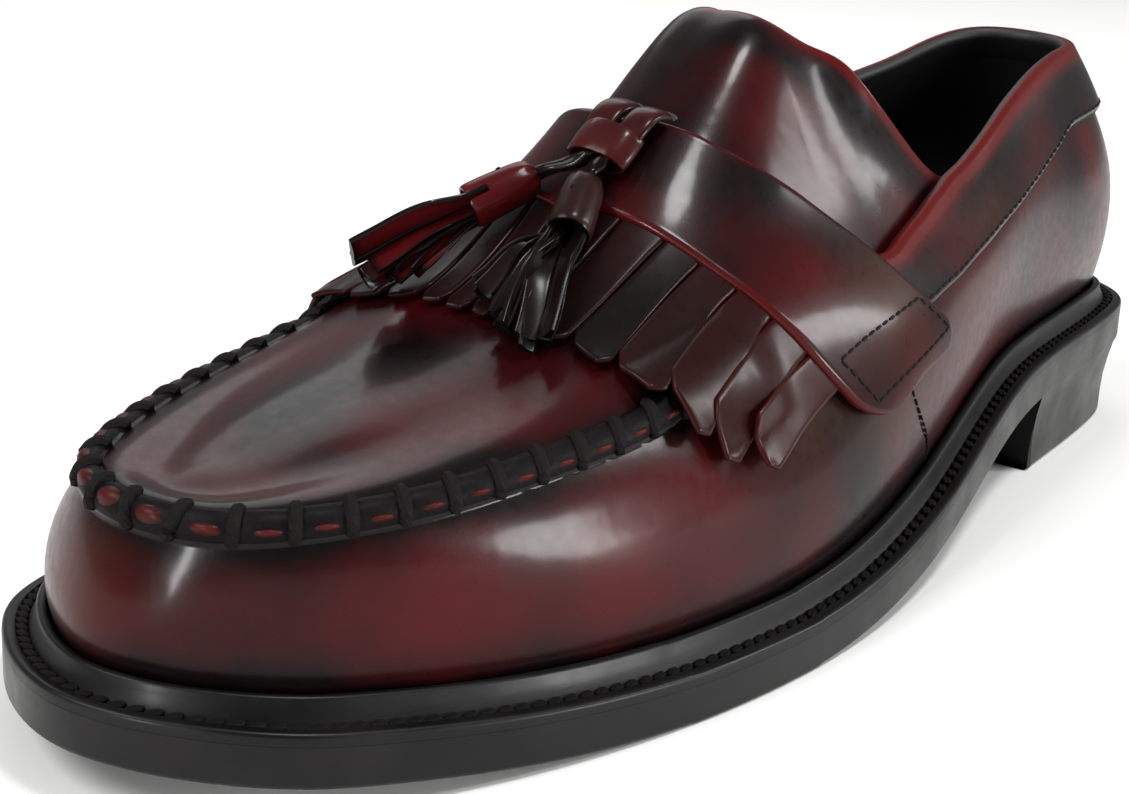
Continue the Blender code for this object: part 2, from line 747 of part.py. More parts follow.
def back_strip():
    """The strip over the heel's back seam, wider at its foot."""
    foot = float(level_at(np.array([0.0]), BEAD_HEIGHT + 2 * GAP)[0])
    levels = np.linspace(foot, BAND_EDGE["v"][0] - 0.012, 7)[:, None]
    shares = (levels - foot) / (levels[-1] - foot)
    half = STRIP_FOOT_HALF + (STRIP_TOP_HALF - STRIP_FOOT_HALF) * smooth(shares)
    around = np.linalg.norm(last(0.1, levels) - last(-0.1, levels), axis=-1) / 0.2
    t = half / around * np.array([-1, -0.6, -0.2, 0.2, 0.6, 1])
    v = np.broadcast_to(levels, t.shape)
    outer = lifted(t, v, np.full_like(v, LAY + STRIP_THICKNESS))
    wall("back_strip", outer, lifted(t, v, np.full_like(v, LAY)), DARK_OXBLOOD, 0.25)


def both_sides(t, v):
    """A grid that runs up the outer side and down the inner side, given up to the crest."""
    return np.concatenate([t, 2 * TOE - t[-2::-1]]), np.concatenate([v, v[-2::-1]])


def saddle():
    """The strap over the instep, sewn down at both ends."""
    up = np.array([0, 0.06, 0.13, 0.19, 0.26, 0.34, 0.43, 0.54, 0.66, 0.78, 0.89, 1.0])[:, None]
    over = np.array([0, 0.25, 0.5, 0.75, 1.0])
    v_back = STRAP_BACK["v"][0] + up * (1 - STRAP_BACK["v"][0])
    v_front = STRAP_FRONT["v"][0] + up * (1 - STRAP_FRONT["v"][0])
    t_back = np.interp(v_back, STRAP_BACK["v"], STRAP_BACK["t"])
    t_front = np.interp(v_front, STRAP_FRONT["v"], STRAP_FRONT["t"])
    t, v = both_sides(t_back + over * (t_front - t_back), v_back + over * (v_front - v_back))
    outer = lifted(t, v, np.full_like(v, LAY + STRAP_THICKNESS))
    wall("saddle", outer, lifted(t, v, np.full_like(v, LAY)), OXBLOOD, 0.15)


def kiltie():
    """The fringe before the strap: strips cut from one piece, each with a three-sided tip."""
    root_t = np.interp(SLITS["root"], STRAP_FRONT["v"], STRAP_FRONT["t"]) + 0.035
    shares = np.array([0, ROOT_BAND, 0.38, 0.68, 0.90, 1.0])
    grid_t, grid_v, strip = [], [], []
    for k, reach in enumerate(STRIP_REACH):
        for edge, other in ((k, k + 1), (k + 1, k)):
            v_tip, v_root = SLITS["tip"][edge], SLITS["root"][edge]
            side = np.sign(SLITS["root"][other] - v_root)
            start = root_t[edge]
            v = v_root + shares * (v_tip - v_root)
            t = start + shares * (reach - start)
            inset = SLIT_WIDTH / 2 / arc_per_level(t, v)
            v = v + side * inset
            v[-1] += 0.28 * (SLITS["tip"][other] - v_tip)
            grid_t.append(t)
            grid_v.append(v)
        strip += [True, False]
    t, v = np.array(grid_t)[::-1], np.array(grid_v)[::-1]
    t, v = np.concatenate([t, 2 * TOE - t[::-1]]), np.concatenate([v, v[::-1]])
    strip = np.array(strip)[:-1]
    strip = np.concatenate([strip[::-1], [False], strip])
    cells = np.repeat(strip[:, None], len(shares) - 1, axis=1)
    cells[:, 0] = True
    rise = LAY + seam_ridge(t, v, 4 * SEAM_WIDTH)
    outer = lifted(t, v, rise + KILTIE_THICKNESS)
    wall("kiltie", outer, lifted(t, v, rise), DARK_OXBLOOD, 0.25, cells)


def swept(name, path, widths, thickness, side, colour, round_sides=0, helper=True):
    """A bar carried along a path: flat with this side direction, or with round_sides sides where that is set."""
    ahead = np.gradient(path, axis=0)
    ahead /= np.linalg.norm(ahead, axis=1, keepdims=True)
    across = side - (side * ahead).sum(axis=1, keepdims=True) * ahead
    across /= np.linalg.norm(across, axis=1, keepdims=True)
    up = np.cross(ahead, across)
    if round_sides:
        angles = 2 * math.pi * np.arange(round_sides) / round_sides
        section = np.column_stack([np.cos(angles), np.sin(angles)])
    else:
        section = np.array([(-1, -1), (1, -1), (1, 1), (-1, 1)])
    half = np.column_stack([np.broadcast_to(widths, len(path)), np.broadcast_to(thickness, len(path))]) / 2
    count = len(section)
    points = [
        path[i] + section[:, :1] * half[i, 0] * across[i] + section[:, 1:] * half[i, 1] * up[i]
        for i in range(len(path))
    ]
    faces = [list(range(count)), [(len(path) - 1) * count + k for k in range(count)]]
    for i in range(len(path) - 1):
        for k in range(count):
            a, b = i * count + k, i * count + (k + 1) % count
            faces.append([a, b, b + count, a + count])
    return solid(name, np.concatenate(points), faces, colour, 0.3, helper)


def curve(points, count):
    """A smooth path of count points through a few."""
    points = np.asarray(points, float)
    knots = np.append(0, np.cumsum(np.linalg.norm(np.diff(points, axis=0), axis=1)))
    return cubic(knots, points, knot_slopes(knots, points), np.linspace(0, knots[-1], count))


def fused(base, parts):
    """The base with the other shapes joined on."""
    group = bpy.data.collections.new(base.name + "_parts")
    bpy.context.scene.collection.children.link(group)
    for part in parts:
        bpy.context.scene.collection.objects.unlink(part)
        group.objects.link(part)
        part.hide_render = True
        part.display_type = "WIRE"
    base.hide_render = False
    base.display_type = "TEXTURED"
    join = base.modifiers.new("join", "BOOLEAN")
    join.operation = "UNION"
    join.solver = "EXACT"
    join.operand_type = "COLLECTION"
    join.collection = group
    return base


def spot(column, level, lift):
    """One point above the last."""
    return lifted(np.array([column]), np.array([level]), np.array([lift]))[0]


def wrap_frame():
    """Centre of the knot's wrap on the strap, and its directions along, across and up."""
    strap_top = LAY + STRAP_THICKNESS
    column, level = WRAP_PLACE
    centre = spot(column, level, strap_top + GAP + WRAP_HEIGHT / 2)
    up = normals(np.array([column]), np.array([level]))[0]
    ahead = spot(column + 0.2, level, strap_top) - spot(column - 0.2, level, strap_top)
    ahead /= np.linalg.norm(ahead)
    across = np.cross(up, ahead)
    return centre, ahead, across, np.cross(ahead, across)


def knot():
    """Two flat thongs out of the strap, the wrap that gathers them, and a cord to each tassel."""
    centre, ahead, across, up = wrap_frame()
    axial = np.array([-0.5, -0.42, 0, 0.42, 0.5]) * WRAP_LENGTH
    sizes = np.array([0.78, 0.94, 1.0, 0.94, 0.78])
    path = centre + axial[:, None] * ahead
    base = swept("knot", path, WRAP_WIDTH * sizes, WRAP_HEIGHT * sizes, across, OXBLOOD, 12)
    parts = []
    for name, side in (("outer", 1), ("inner", -1)):
        offset = side * (THONG_WIDTH / 2 + GAP / 2) * across
        seat = centre - up * (WRAP_HEIGHT / 2 - THONG_THICKNESS / 2 - GAP) + offset
        stations = [
            seat - 0.0110 * ahead,
            seat - 0.0085 * ahead + 0.0016 * up,
            seat - 0.0045 * ahead + 0.0026 * up,
            seat + 0.0020 * up,
        ]
        thong = curve(stations, 7)
        parts.append(swept("thong_" + name, thong, THONG_WIDTH, THONG_THICKNESS, across, OXBLOOD))
    for name, cap, side in (("near", NEAR_CAP, 1), ("far", FAR_CAP, -1)):
        top, foot = spot(*cap[0]), spot(*cap[1])
        axis = (foot - top) / np.linalg.norm(foot - top)
        start = centre + 1.3 * side * CORD_RADIUS * across
        end = top - (CAP_LEAD * CAP_LENGTH + GAP + CORD_RADIUS / 4) * axis
        cord = curve([start, start + 0.3 * WRAP_LENGTH * ahead, end - 0.5 * CORD_RADIUS * axis, end], 6)
        parts.append(swept("cord_" + name, cord, 2 * CORD_RADIUS, 2 * CORD_RADIUS, across, SOLE_BLACK, 6))
    fused(base, parts)


# A cap's sections: place along its axis, and radius as a share of CAP_RADIUS
CAP_LEAD = 0.05
CAP_ROWS = columns(
    "along radius",
    [(-CAP_LEAD, 0.45), (0.0, 0.66), (0.12, 0.82), (0.5, 0.94), (0.9, 1.0), (1.0, 0.94)],
)


def tassel(name, cap, tips, colour):
    """A rolled cap with cut strips fanned out of its mouth, each to its own tip above the vamp."""
    top, foot = spot(*cap[0]), spot(*cap[1])
    unit = (foot - top) / np.linalg.norm(foot - top)
    foot = top + CAP_LENGTH * unit
    side = np.cross(unit, np.array([0, 0, 1.0]))
    side /= np.linalg.norm(side)
    over = np.cross(side, unit)
    path = top + CAP_LENGTH * CAP_ROWS["along"][:, None] * unit
    base = swept(name, path, 2 * CAP_RADIUS * CAP_ROWS["radius"], 2 * CAP_RADIUS * CAP_ROWS["radius"], side, colour, 10)
    core = foot + np.array([-0.004, 0.004, 0.009])[:, None] * unit
    parts = [swept(name + "_core", core, 2 * CAP_RADIUS * np.array([0.8, 0.8, 0.4]), 0.0055, side, colour, 8)]
    for k, tip in enumerate(tips):
        end = spot(*tip)
        spread = (end - foot) - np.dot(end - foot, unit) * unit
        reach = np.linalg.norm(spread) + 1e-9
        start = foot + 0.45 * CAP_RADIUS * spread / reach
        middle = start + 0.45 * (end - start) + 0.10 * np.linalg.norm(end - start) * over
        path = curve([start - 0.003 * unit, start + 0.002 * unit, middle, end], 6)
        widths = FRINGE_WIDTH * np.array([0.7, 0.8, 0.95, 1.0, 1.0, 0.55])
        turn = side * math.cos(0.9 * (k % 3 - 1)) + over * math.sin(0.9 * (k % 3 - 1))
        parts.append(swept(f"{name}_strip_{k}", path, widths, FRINGE_THICKNESS, turn, colour))
    fused(base, parts)


def main():
    for old in list(bpy.data.objects):
        bpy.data.objects.remove(old)
    outsole()
    heel()
    welt()
    insole()
    upper()
    tongue()
    collar_band()
    back_strip()
    saddle()
    kiltie()
    knot()
    tassel("tassel_near", NEAR_CAP, NEAR_TIPS, TASSEL_BROWN)
    tassel("tassel_far", FAR_CAP, FAR_TIPS, RED_EDGE)


main()
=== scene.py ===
"""The looks of a man's tassel loafer, the left shoe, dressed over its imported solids.

Metres, +Z up, toe towards -Y.

Every curved piece is read from one surface of the last, in two parameters. Column t runs round the shoe, from 0 at
the back of the heel along the outer side to 16 at the toe and back along the inner side to 32. Level v climbs from
0 at the feather edge to 1 at the crest of the instep or the topline of the collar.
"""

import logging
import math
from dataclasses import dataclass, field, replace
from enum import Enum

import bmesh
import bpy
import numpy as np
from mathutils import Matrix, Quaternion, Vector


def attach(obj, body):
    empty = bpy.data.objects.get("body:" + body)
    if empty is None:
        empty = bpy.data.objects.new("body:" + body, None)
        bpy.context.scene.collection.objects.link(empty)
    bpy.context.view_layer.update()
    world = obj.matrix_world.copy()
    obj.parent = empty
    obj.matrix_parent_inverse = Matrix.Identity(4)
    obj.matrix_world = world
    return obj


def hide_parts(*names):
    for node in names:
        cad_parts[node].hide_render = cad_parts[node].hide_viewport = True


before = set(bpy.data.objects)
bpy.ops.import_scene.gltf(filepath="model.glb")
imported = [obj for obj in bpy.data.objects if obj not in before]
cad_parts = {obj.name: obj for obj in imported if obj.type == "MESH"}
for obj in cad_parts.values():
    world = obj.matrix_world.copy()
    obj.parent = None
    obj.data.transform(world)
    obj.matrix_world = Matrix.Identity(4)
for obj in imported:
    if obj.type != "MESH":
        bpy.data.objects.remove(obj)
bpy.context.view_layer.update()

LOG = logging.getLogger("loafer")
Array = np.ndarray

MM = 0.001
# Columns of the toe, the top of the throat and the front of the throat, and the level of the apron seam
TOE = 16
TONGUE_TOP = 8
THROAT_FRONT = 10.0
SEAM_LEVEL = 0.42
# How far neighbours stand apart, and how far a sheet lies above the leather under it
GAP = 0.0003
LAY = 0.0006
# Points nearer than this are one point
SAME_POINT = 1e-6
# Sides of a strip's rounded section
BAR_SIDES = 20
# How near a column has to come to a corner to count as on it
ON_IT = 1e-9


class Mark(Enum):
    """What is painted on a piece point by point, as attributes from 0 to 1."""

    # Darkness: the leather's real burnish, and painted shade inside the knot's wrap and the tassel caps, and on
    # tassel strips by the cap's mouth and under each other
    BURNISH_AND_SHADE = "burnish"
    BROWN = "brown"
    GLEAM = "gleam"
    EDGE = "edge"


class Place(Enum):
    """The material slots of the record."""

    UPPER = "upper_leather"
    DARK = "dark_leather"
    RED = "red_leather"
    TASSEL = "tassel_leather"
    LINING = "lining"
    WELT = "welt_leather"
    SOLE = "sole_leather"
    HEEL = "heel_leather"


def table(names: str, rows: str, parts: float = 1) -> dict[str, Array]:
    """The columns of a table, by name: a row has one number for each name, in the parts of one that are given."""
    return dict(zip(names.split(), (np.array(rows.split(), float) / parts).reshape(-1, len(names.split())).T))


def knot_slopes(
    knots: Array,
    values: Array,
    first: float | None = None,
    last: Array | None = None,
    closed: bool = False,
) -> Array:
    """Slopes at the knots that make cubic pieces through the values bend without a jump.

    Args:
        knots: where the values stand, rising.
        values: one value, point or list of points for each knot.
        first: the slope at the first knot, where it is set.
        last: the slope at the last knot, where it is set.
        closed: whether the last knot is the first one again.

    Returns:
        A slope for each value.
    """
    count = len(knots)
    steps = np.diff(knots)
    rates = np.diff(values, axis=0) / steps.reshape((-1,) + (1,) * (values.ndim - 1))
    matrix = np.zeros((count, count))
    right = np.zeros_like(values)
    for i in range(1, count - 1):
        matrix[i, i - 1 : i + 2] = steps[i], 2 * (steps[i - 1] + steps[i]), steps[i - 1]
        right[i] = 3 * (steps[i] * rates[i - 1] + steps[i - 1] * rates[i])
    if closed:
        matrix[0, [0, 1, count - 2]] = 2 * (steps[-1] + steps[0]), steps[-1], steps[0]
        right[0] = 3 * (steps[0] * rates[-1] + steps[-1] * rates[0])
        matrix[-1, -1] = 1
        matrix[-1, 0] = -1
    else:
        matrix[0, :2] = (2, 1) if first is None else (1, 0)
        right[0] = 3 * rates[0] if first is None else first
        matrix[-1, -2:] = (1, 2) if last is None else (0, 1)
        right[-1] = 3 * rates[-1] if last is None else last
    return np.linalg.solve(matrix, right.reshape(count, -1)).reshape(values.shape)


def cubic(knots: Array, values: Array, slopes: Array, where: Array) -> Array:
    """Cubic pieces through knots: each mixes the values and slopes of its two ends by the usual four cubics.

    Args:
        knots: where the values stand, rising.
        values: one number or point for each knot, or a list of them with one for each number of where.
        slopes: the slopes that knot_slopes gave.
        where: the places to read.

    Returns:
        The curve at each place.
    """
    piece = np.clip(np.searchsorted(knots, where, side="right") - 1, 0, len(knots) - 2)
    step = np.diff(knots)[piece]
    u = (where - knots[piece]) / step
    own = (np.arange(len(where)),) if values.ndim == 3 else ()
    low, high = values[(piece, *own)], values[(piece + 1, *own)]
    slope_low, slope_high = slopes[(piece, *own)], slopes[(piece + 1, *own)]
    if low.ndim == 2:
        u, step = u[:, None], step[:, None]
    return (
        (1 + 2 * u) * (1 - u) ** 2 * low
        + u * (1 - u) ** 2 * step * slope_low
        + u * u * (3 - 2 * u) * high
        - u * u * (1 - u) * step * slope_high
    )


def smooth(share: Array) -> Array:
    """A soft step from 0 to 1."""
    share = np.clip(share, 0, 1)
    return share * share * (3 - 2 * share)


def bell(away: Array) -> Array:
    """A soft bump: 1 at no distance, fading out past a distance of 1."""
    return np.exp(-away * away)


def softened(where: Array, knots: Array, values: Array, reach: float) -> Array:
    """A table read with its corners rounded: the mean of nine readings spread over reach on either side."""
    spread = np.linspace(-reach, reach, 9)
    return np.mean([np.interp(where + shift, knots, values) for shift in spread], axis=0)


def crowded(count: int) -> Array:
    """Shares from 0 to 1 that crowd at both ends, half a cosine wave."""
    return (1 - np.cos(math.pi * np.linspace(0, 1, count))) / 2


def side_column(t: Array) -> Array:
    """The column counted from the heel on its own side: 0 at the heel, 16 at the toe."""
    return TOE - np.abs(np.mod(t, 2 * TOE) - TOE)


def run_along(points: Array) -> Array:
    """How far each point of a path lies from its first one, along the path."""
    return np.append(0, np.cumsum(np.linalg.norm(np.diff(points, axis=0), axis=1)))


def to_unit(vectors: Array) -> Array:
    """Vectors drawn out to length 1."""
    return vectors / np.linalg.norm(vectors, axis=-1, keepdims=True)


def full_turn(count: int) -> Array:
    """Angles at even steps once round, from 0."""
    return 2 * math.pi * np.arange(count) / count


@dataclass(frozen=True)
class Axes:
    """A place on the shoe with its own three directions."""

    centre: Array
    ahead: Array
    across: Array
    up: Array

    def at(self, ahead: Array, across: Array, up: Array) -> Array:
        """Points this far ahead, across and up from the centre."""
        ahead, across, up = (np.asarray(part)[..., None] for part in (ahead, across, up))
        return self.centre + ahead * self.ahead + across * self.across + up * self.up


# The sole's edge: station as a share of the length, half widths as shares of the ball's width, how far the
# upper swells past the feather, how far up that is, and how much lower the inner side's topline lies
SOLE_ROWS = table(
    "station outer inner swell_outer swell_inner swell_rise inner_drop",
    """
   0    0    0   24   24  450    0
  30  218  195   24   24  450    0
  85  297  286   25   25  450   25
 170  330  330   27   27  460   60
 260  360  325   29   31  460   70
 340  405  307   29   38  460   50
 400  444  300   27   44  460   15
 450  474  307   24   44  450    0
 500  496  332   20   40  430    0
 560  511  373   15   33  400    0
 630  512  425   11   24  400    0
 700  495  464   11   15  420    0
 770  458  478   12   12  420    0
 840  400  464   13   12  420    0
 905  322  405   14   12  420    0
 960  218  277   14   13  420    0
1000  -18   18   14   14  420    0
""",
    1000,
)
# The long lines: station, half widths, and height above the welt's top as a share of the upper's height
SEAM_ROWS = table(
    "station outer inner rise",
    """
  20    0    0  296
  40  173  160  296
  93  245  238  298
 170  270  270  295
 262  311  293  285
 342  351  304  293
 400  373  309  322
 450  382  318  358
 500  377  332  402
 565  359  341  439
 640  344  344  424
 710  338  338  379
 785  313  311  348
 857  267  269  316
 912  202  205  293
 944  123  127  280
 957    0    0  275
""",
    1000,
)
LOW_ROWS = table(
    "station outer inner rise",
    """
  32    0    0  426
  53  147  138  427
 102  211  204  429
 170  236  236  420
 263  282  273  396
 344  322  293  379
 402  330  289  418
 452  309  276  499
 497  273  244  575
 558  259  236  567
 634  232  223  529
 704  214  209  455
 776  198  195  398
 842  171  171  354
 893  127  129  321
 926   76   76  300
 937    0    0  294
""",
    1000,
)
HIGH_ROWS = table(
    "station outer inner rise",
    """
  46    0    0  516
  66  122  116  517
 111  175  171  519
 170  204  204  505
 263  257  245  471
 345  296  273  440
 404  285  259  528
 451  236  214  669
 491  132  114  850
 554  127  114  751
 628  114  109  610
 696  104  102  492
 766   95   95  425
 832   82   83  380
 882   62   63  338
 908   36   36  317
 918    0    0  311
""",
    1000,
)
CREST_ROWS = table(
    "station outer inner rise",
    """
  56    0    0  567
  75  105  102  568
 117  153  149  571
 170  185  182  565
 263  244  227  526
 345  282  258  475
 405  259  236  620
 452  186  164  794
 485    0    0  901
 550    0    0  809
 622    0    0  642
 688    0    0  504
 757    0    0  437
 820    0    0  392
 868    0    0  353
 892    0    0  331
 900    0    0  325
""",
    1000,
)
# The bottom's profile: heel rise and toe spring as shares of their own heights
BOTTOM_ROWS = table(
    "station heel spring",
    """
   0 1020    0
 120 1000    0
 260  940    0
 360  700    0
 460  360    0
 560   90    0
 640    0    0
 700    0    0
 780    0  100
 860    0  330
 930    0  620
1000    0 1000
""",
    1000,
)
# The free edge of the quarters at collar and throat
QUARTER_ROWS = table(
    "t v",
    """
0.00 1.00
3.80 1.00
4.40 1.05
4.70 1.08
5.00 1.04
5.20 0.96
5.40 0.865
5.63 0.785
5.90 0.735
6.26 0.668
6.81 0.585
7.35 0.522
8.00 0.50
9.00 0.52
9.60 0.70
10.0 1.00
""",
)


@dataclass
class Last:
    """The shoemaker's last, cubic in both parameters through six long lines and seventeen columns a side."""

    length: float = 0.305
    ball_width: float = 0.110
    upper_height: float = 0.100
    heel_height: float = 0.018
    toe_spring: float = 0.0077
    outsole_thickness: float = 0.0067
    welt_thickness: float = 0.0021
    welt_width: float = 0.0085
    seam_height: float = 0.0020
    seam_width: float = 0.0050
    seam_from: float = 9.5
    flat_from: float = 0.62
    flat_to: float = 0.73
    # Over how many columns before the top of the throat the crest turns level
    level_over: float = 1.2

    sole_rows: dict = field(default_factory=lambda: SOLE_ROWS)
    seam_rows: dict = field(default_factory=lambda: SEAM_ROWS)
    low_rows: dict = field(default_factory=lambda: LOW_ROWS)
    high_rows: dict = field(default_factory=lambda: HIGH_ROWS)
    crest_rows: dict = field(default_factory=lambda: CREST_ROWS)
    bottom_rows: dict = field(default_factory=lambda: BOTTOM_ROWS)
    quarter_rows: dict = field(default_factory=lambda: QUARTER_ROWS)

    def __post_init__(self) -> None:
        """Works out the six loops and the shift that centres the sole's outline."""
        self.knots = np.arange(2.0 * TOE + 1)
        self.levels = np.array([0.0, 0.2, 0.42, 0.62, 0.82, 1.0])
        self.upper_foot = self.outsole_thickness + GAP
        self.welt_top = self.upper_foot + self.welt_thickness
        flat = np.zeros(TOE + 1)
        self.edge_loop = self.loop_of(self.sole_rows, (flat, flat))
        self.edge_slopes = knot_slopes(self.knots, self.edge_loop, closed=True)
        foot = self.feather(self.knots)
        seam = self.line_loop(self.seam_rows, 0.0)
        loops = [foot, self.widest(foot, seam), seam]
        for rows, drop_part in ((self.low_rows, 0.6), (self.high_rows, 0.9), (self.crest_rows, 1.0)):
            loops.append(self.line_loop(rows, drop_part))
        self.lines = [(loop, knot_slopes(self.knots, loop, closed=True)) for loop in loops]
        # The columns of the solids' sole, whose middle is the origin of the part
        heel = [0, 0.25, 0.5, 0.75, 1, 1.35, 1.7, 2.1, 2.6, 3.2, 3.8, 4.4]
        throat = [5.05, 5.15, 5.4, 5.7, 6.0, 6.4, 6.8, 7.2, 7.6, 8, 8.4, 8.8, 9.2, 9.5, 9.75, 10]
        toe = [10.4, 10.8, 11.3, 11.8, 12.3, 12.8, 13.3, 13.7, 14.1, 14.5, 14.8, 15.1, 15.4, 15.7, 16]
        side = np.array(heel + throat + toe)
        ring = self.sole_edge(np.concatenate([side, 2 * TOE - side[-2:0:-1]]))
        self.centre = np.append((ring.max(axis=0) + ring.min(axis=0))[:2] / 2, 0)

    def sole_bottom(self, y: Array) -> Array:
        """Height of the sole's underside at y: arch and heel seat behind the ball, toe spring before it."""
        station = np.clip(0.5 - y / self.length, 0, 1)
        knots = self.bottom_rows["station"]
        heel, spring = (
            np.clip(cubic(knots, rows, knot_slopes(knots, rows, first=0.0), station), 0, None)
            for rows in (self.bottom_rows["heel"], self.bottom_rows["spring"])
        )
        heel = np.where(station < self.flat_from, heel, 0)
        spring = np.where(station > self.flat_to, spring, 0)
        return self.heel_height * heel + self.toe_spring * spring

    def loop_of(self, rows: dict, heights: tuple) -> Array:
        """A line's knots as a closed loop: the outer side from heel to toe, then the inner side back."""
        y = self.length * (0.5 - rows["station"])
        outer = np.column_stack([self.ball_width * rows["outer"], y, heights[0]])
        inner = np.column_stack([-self.ball_width * rows["inner"], y, heights[1]])
        return np.concatenate([outer, inner[TOE - 1 :: -1]])

    def line_loop(self, rows: dict, drop_part: float) -> Array:
        """One of the long lines, its inner side lowered by its part of the drop."""
        y = self.length * (0.5 - rows["station"])
        z = self.sole_bottom(y) + self.welt_top + self.upper_height * rows["rise"]
        return self.loop_of(rows, (z, z - self.upper_height * drop_part * self.sole_rows["inner_drop"]))

    def sole_edge(self, t: Array) -> Array:
        """Points on the sole's outline, at height 0."""
        return cubic(self.knots, self.edge_loop, self.edge_slopes, np.mod(t, 2 * TOE))

    def outward(self, t: Array, step: float = 1e-3) -> Array:
        """Level unit vectors pointing out of the sole's outline."""
        along = self.sole_edge(t + step) - self.sole_edge(t - step)
        across = np.column_stack([-along[:, 1], along[:, 0], np.zeros(len(along))])
        return to_unit(across)

    def feather(self, t: Array) -> Array:
        """Where the upper meets the top of the welt."""
        return self.at_sole(t, self.welt_width, self.welt_top)

    def at_sole(self, t: Array, inset: float, height: float) -> Array:
        """Points inside the sole's edge by inset, at a height above the sole's underside."""
        points = self.sole_edge(t) - inset * self.outward(t)
        points[:, 2] = self.sole_bottom(points[:, 1]) + height
        return points

    def widest(self, foot: Array, seam: Array) -> Array:
        """The line of the upper's greatest width, between the feather and the seam line."""
        rows = self.sole_rows
        swell = np.concatenate([rows["swell_outer"], rows["swell_inner"][TOE - 1 :: -1]])
        rise = np.concatenate([rows["swell_rise"], rows["swell_rise"][TOE - 1 :: -1]])
        points = foot + self.ball_width * swell[:, None] * self.outward(self.knots)
        points[:, 2] = foot[:, 2] + rise * (seam[:, 2] - foot[:, 2])
        return points

    def point(self, t: Array, v: Array) -> Array:
        """Points of the last: each column is a cubic through its six lines, level over the crest."""
        t, v = np.broadcast_arrays(np.asarray(t, float), np.asarray(v, float))
        shape = t.shape
        t, v = t.ravel(), v.ravel()
        turn, back = np.mod(t, 2 * TOE), np.mod(2 * TOE - t, 2 * TOE)
        lines = np.array([cubic(self.knots, *line, turn) for line in self.lines])
        column = TOE - np.abs(turn - TOE)
        meets = column >= TONGUE_TOP - ON_IT
        other = cubic(self.knots, *self.lines[5], back)
        lines[5, meets] = (lines[5, meets] + other[meets]) / 2
        lines[5, meets, 0] = 0
        crest_step = self.levels[5] - self.levels[4]
        over = (cubic(self.knots, *self.lines[4], back) - lines[4]) / (2 * crest_step)
        straight = (lines[5] - lines[4]) / crest_step
        share = smooth((column - TONGUE_TOP) / self.level_over + 1)[:, None]
        slopes = knot_slopes(self.levels, lines, last=share * over + (1 - share) * straight)
        return cubic(self.levels, lines, slopes, v).reshape(shape + (3,))

    def normal(self, t: Array, v: Array, step: float = 1e-3) -> Array:
        """Unit vectors out of the last."""
        t, v = np.broadcast_arrays(np.asarray(t, float), np.asarray(v, float))
        up = self.point(t, v + step / 5) - self.point(t, v - step / 5)
        forth = self.point(t + step, v) - self.point(t - step, v)
        out = np.cross(up, forth)
        column = side_column(t)
        out[..., 0] = np.where((v > 1 - ON_IT) & (column >= TONGUE_TOP - ON_IT), 0, out[..., 0])
        return to_unit(out)

    def lifted(self, t: Array, v: Array, lift: Array) -> Array:
        """Points above the last by lift, one number for all or for each point."""
        return self.point(t, v) + np.asarray(lift)[..., None] * self.normal(t, v)

    def per_level(self, t: Array, v: Array, step: float = 1e-3) -> Array:
        """How far the surface runs for each unit of v."""
        return np.linalg.norm(self.point(t, v + step) - self.point(t, v - step), axis=-1) / (2 * step)

    def per_column(self, t: Array, v: Array, step: float = 1e-3) -> Array:
        """How far the surface runs for each unit of t."""
        return np.linalg.norm(self.point(t + step, v) - self.point(t - step, v), axis=-1) / (2 * step)

    def seam_ridge(self, t: Array, v: Array, width: float) -> Array:
        """Height of the raised apron seam, a parabola across its width that fades in under the strap."""
        column = side_column(t)
        away = np.abs(v - SEAM_LEVEL) * self.per_level(t, SEAM_LEVEL) / (width / 2)
        return self.seam_height * smooth((column - self.seam_from) / 0.5) * np.clip(1 - away * away, 0, 1)

    def quarter_edge(self, t: Array) -> Array:
        """The level of the upper's free edge at column t, and 1 where the vamp closes over the crest."""
        column = side_column(t)
        return np.where(
            column >= THROAT_FRONT, 1.0, np.interp(column, self.quarter_rows["t"], self.quarter_rows["v"])
        )

    def level_at(self, t: Array, rise: float) -> Array:
        """The level at which the last has risen this far above the welt's top."""
        levels = np.linspace(0, 0.25, 26)
        heights = self.point(t[:, None], levels)[..., 2] - self.feather(t)[:, 2:]
        return np.array([np.interp(rise, row, levels) for row in heights])


@dataclass
class Form:
    """Points, four-cornered faces, the finish number of each face and the painted marks of each point."""

    points: Array
    faces: Array
    finish: Array
    marks: dict[Mark, Array]


def form_of(points: Array, faces: Array, finish: int = 0, marks: dict | None = None) -> Form:
    """A form with one finish, its grids of points and marks laid out flat."""
    flat = {mark: np.asarray(values, float).reshape(-1) for mark, values in (marks or {}).items()}
    return Form(points.reshape(-1, 3), faces, np.full(len(faces), finish), flat)


def joined(forms: list[Form]) -> Form:
    """Several forms as one; a mark that one of them lacks is 0 there."""
    starts = np.cumsum([0] + [len(form.points) for form in forms])
    names = {mark for form in forms for mark in form.marks}
    marks = {}
    for mark in names:
        marks[mark] = np.concatenate([form.marks.get(mark, np.zeros(len(form.points))) for form in forms])
    return Form(
        np.concatenate([form.points for form in forms]),
        np.concatenate([form.faces + start for form, start in zip(forms, starts)]),
        np.concatenate([form.finish for form in forms]),
        marks,
    )


def grid_faces(rows: int, across: int, ring: bool = False) -> Array:
    """Four corners for each cell of a grid; a ring joins the last column to the first."""
    down = np.arange(rows - 1)[:, None] * across
    along = np.arange(across if ring else across - 1)
    ahead = (along + 1) % across
    corners = [down + along, down + across + along, down + across + ahead, down + ahead]
    return np.stack(np.broadcast_arrays(*corners), axis=-1).reshape(-1, 4)


def copied(cells: Array, size: int, count: int) -> Array:
    """The faces of count equal grids whose points, size in each, follow each other."""
    return (cells + size * np.arange(count)[:, None, None]).reshape(-1, 4)


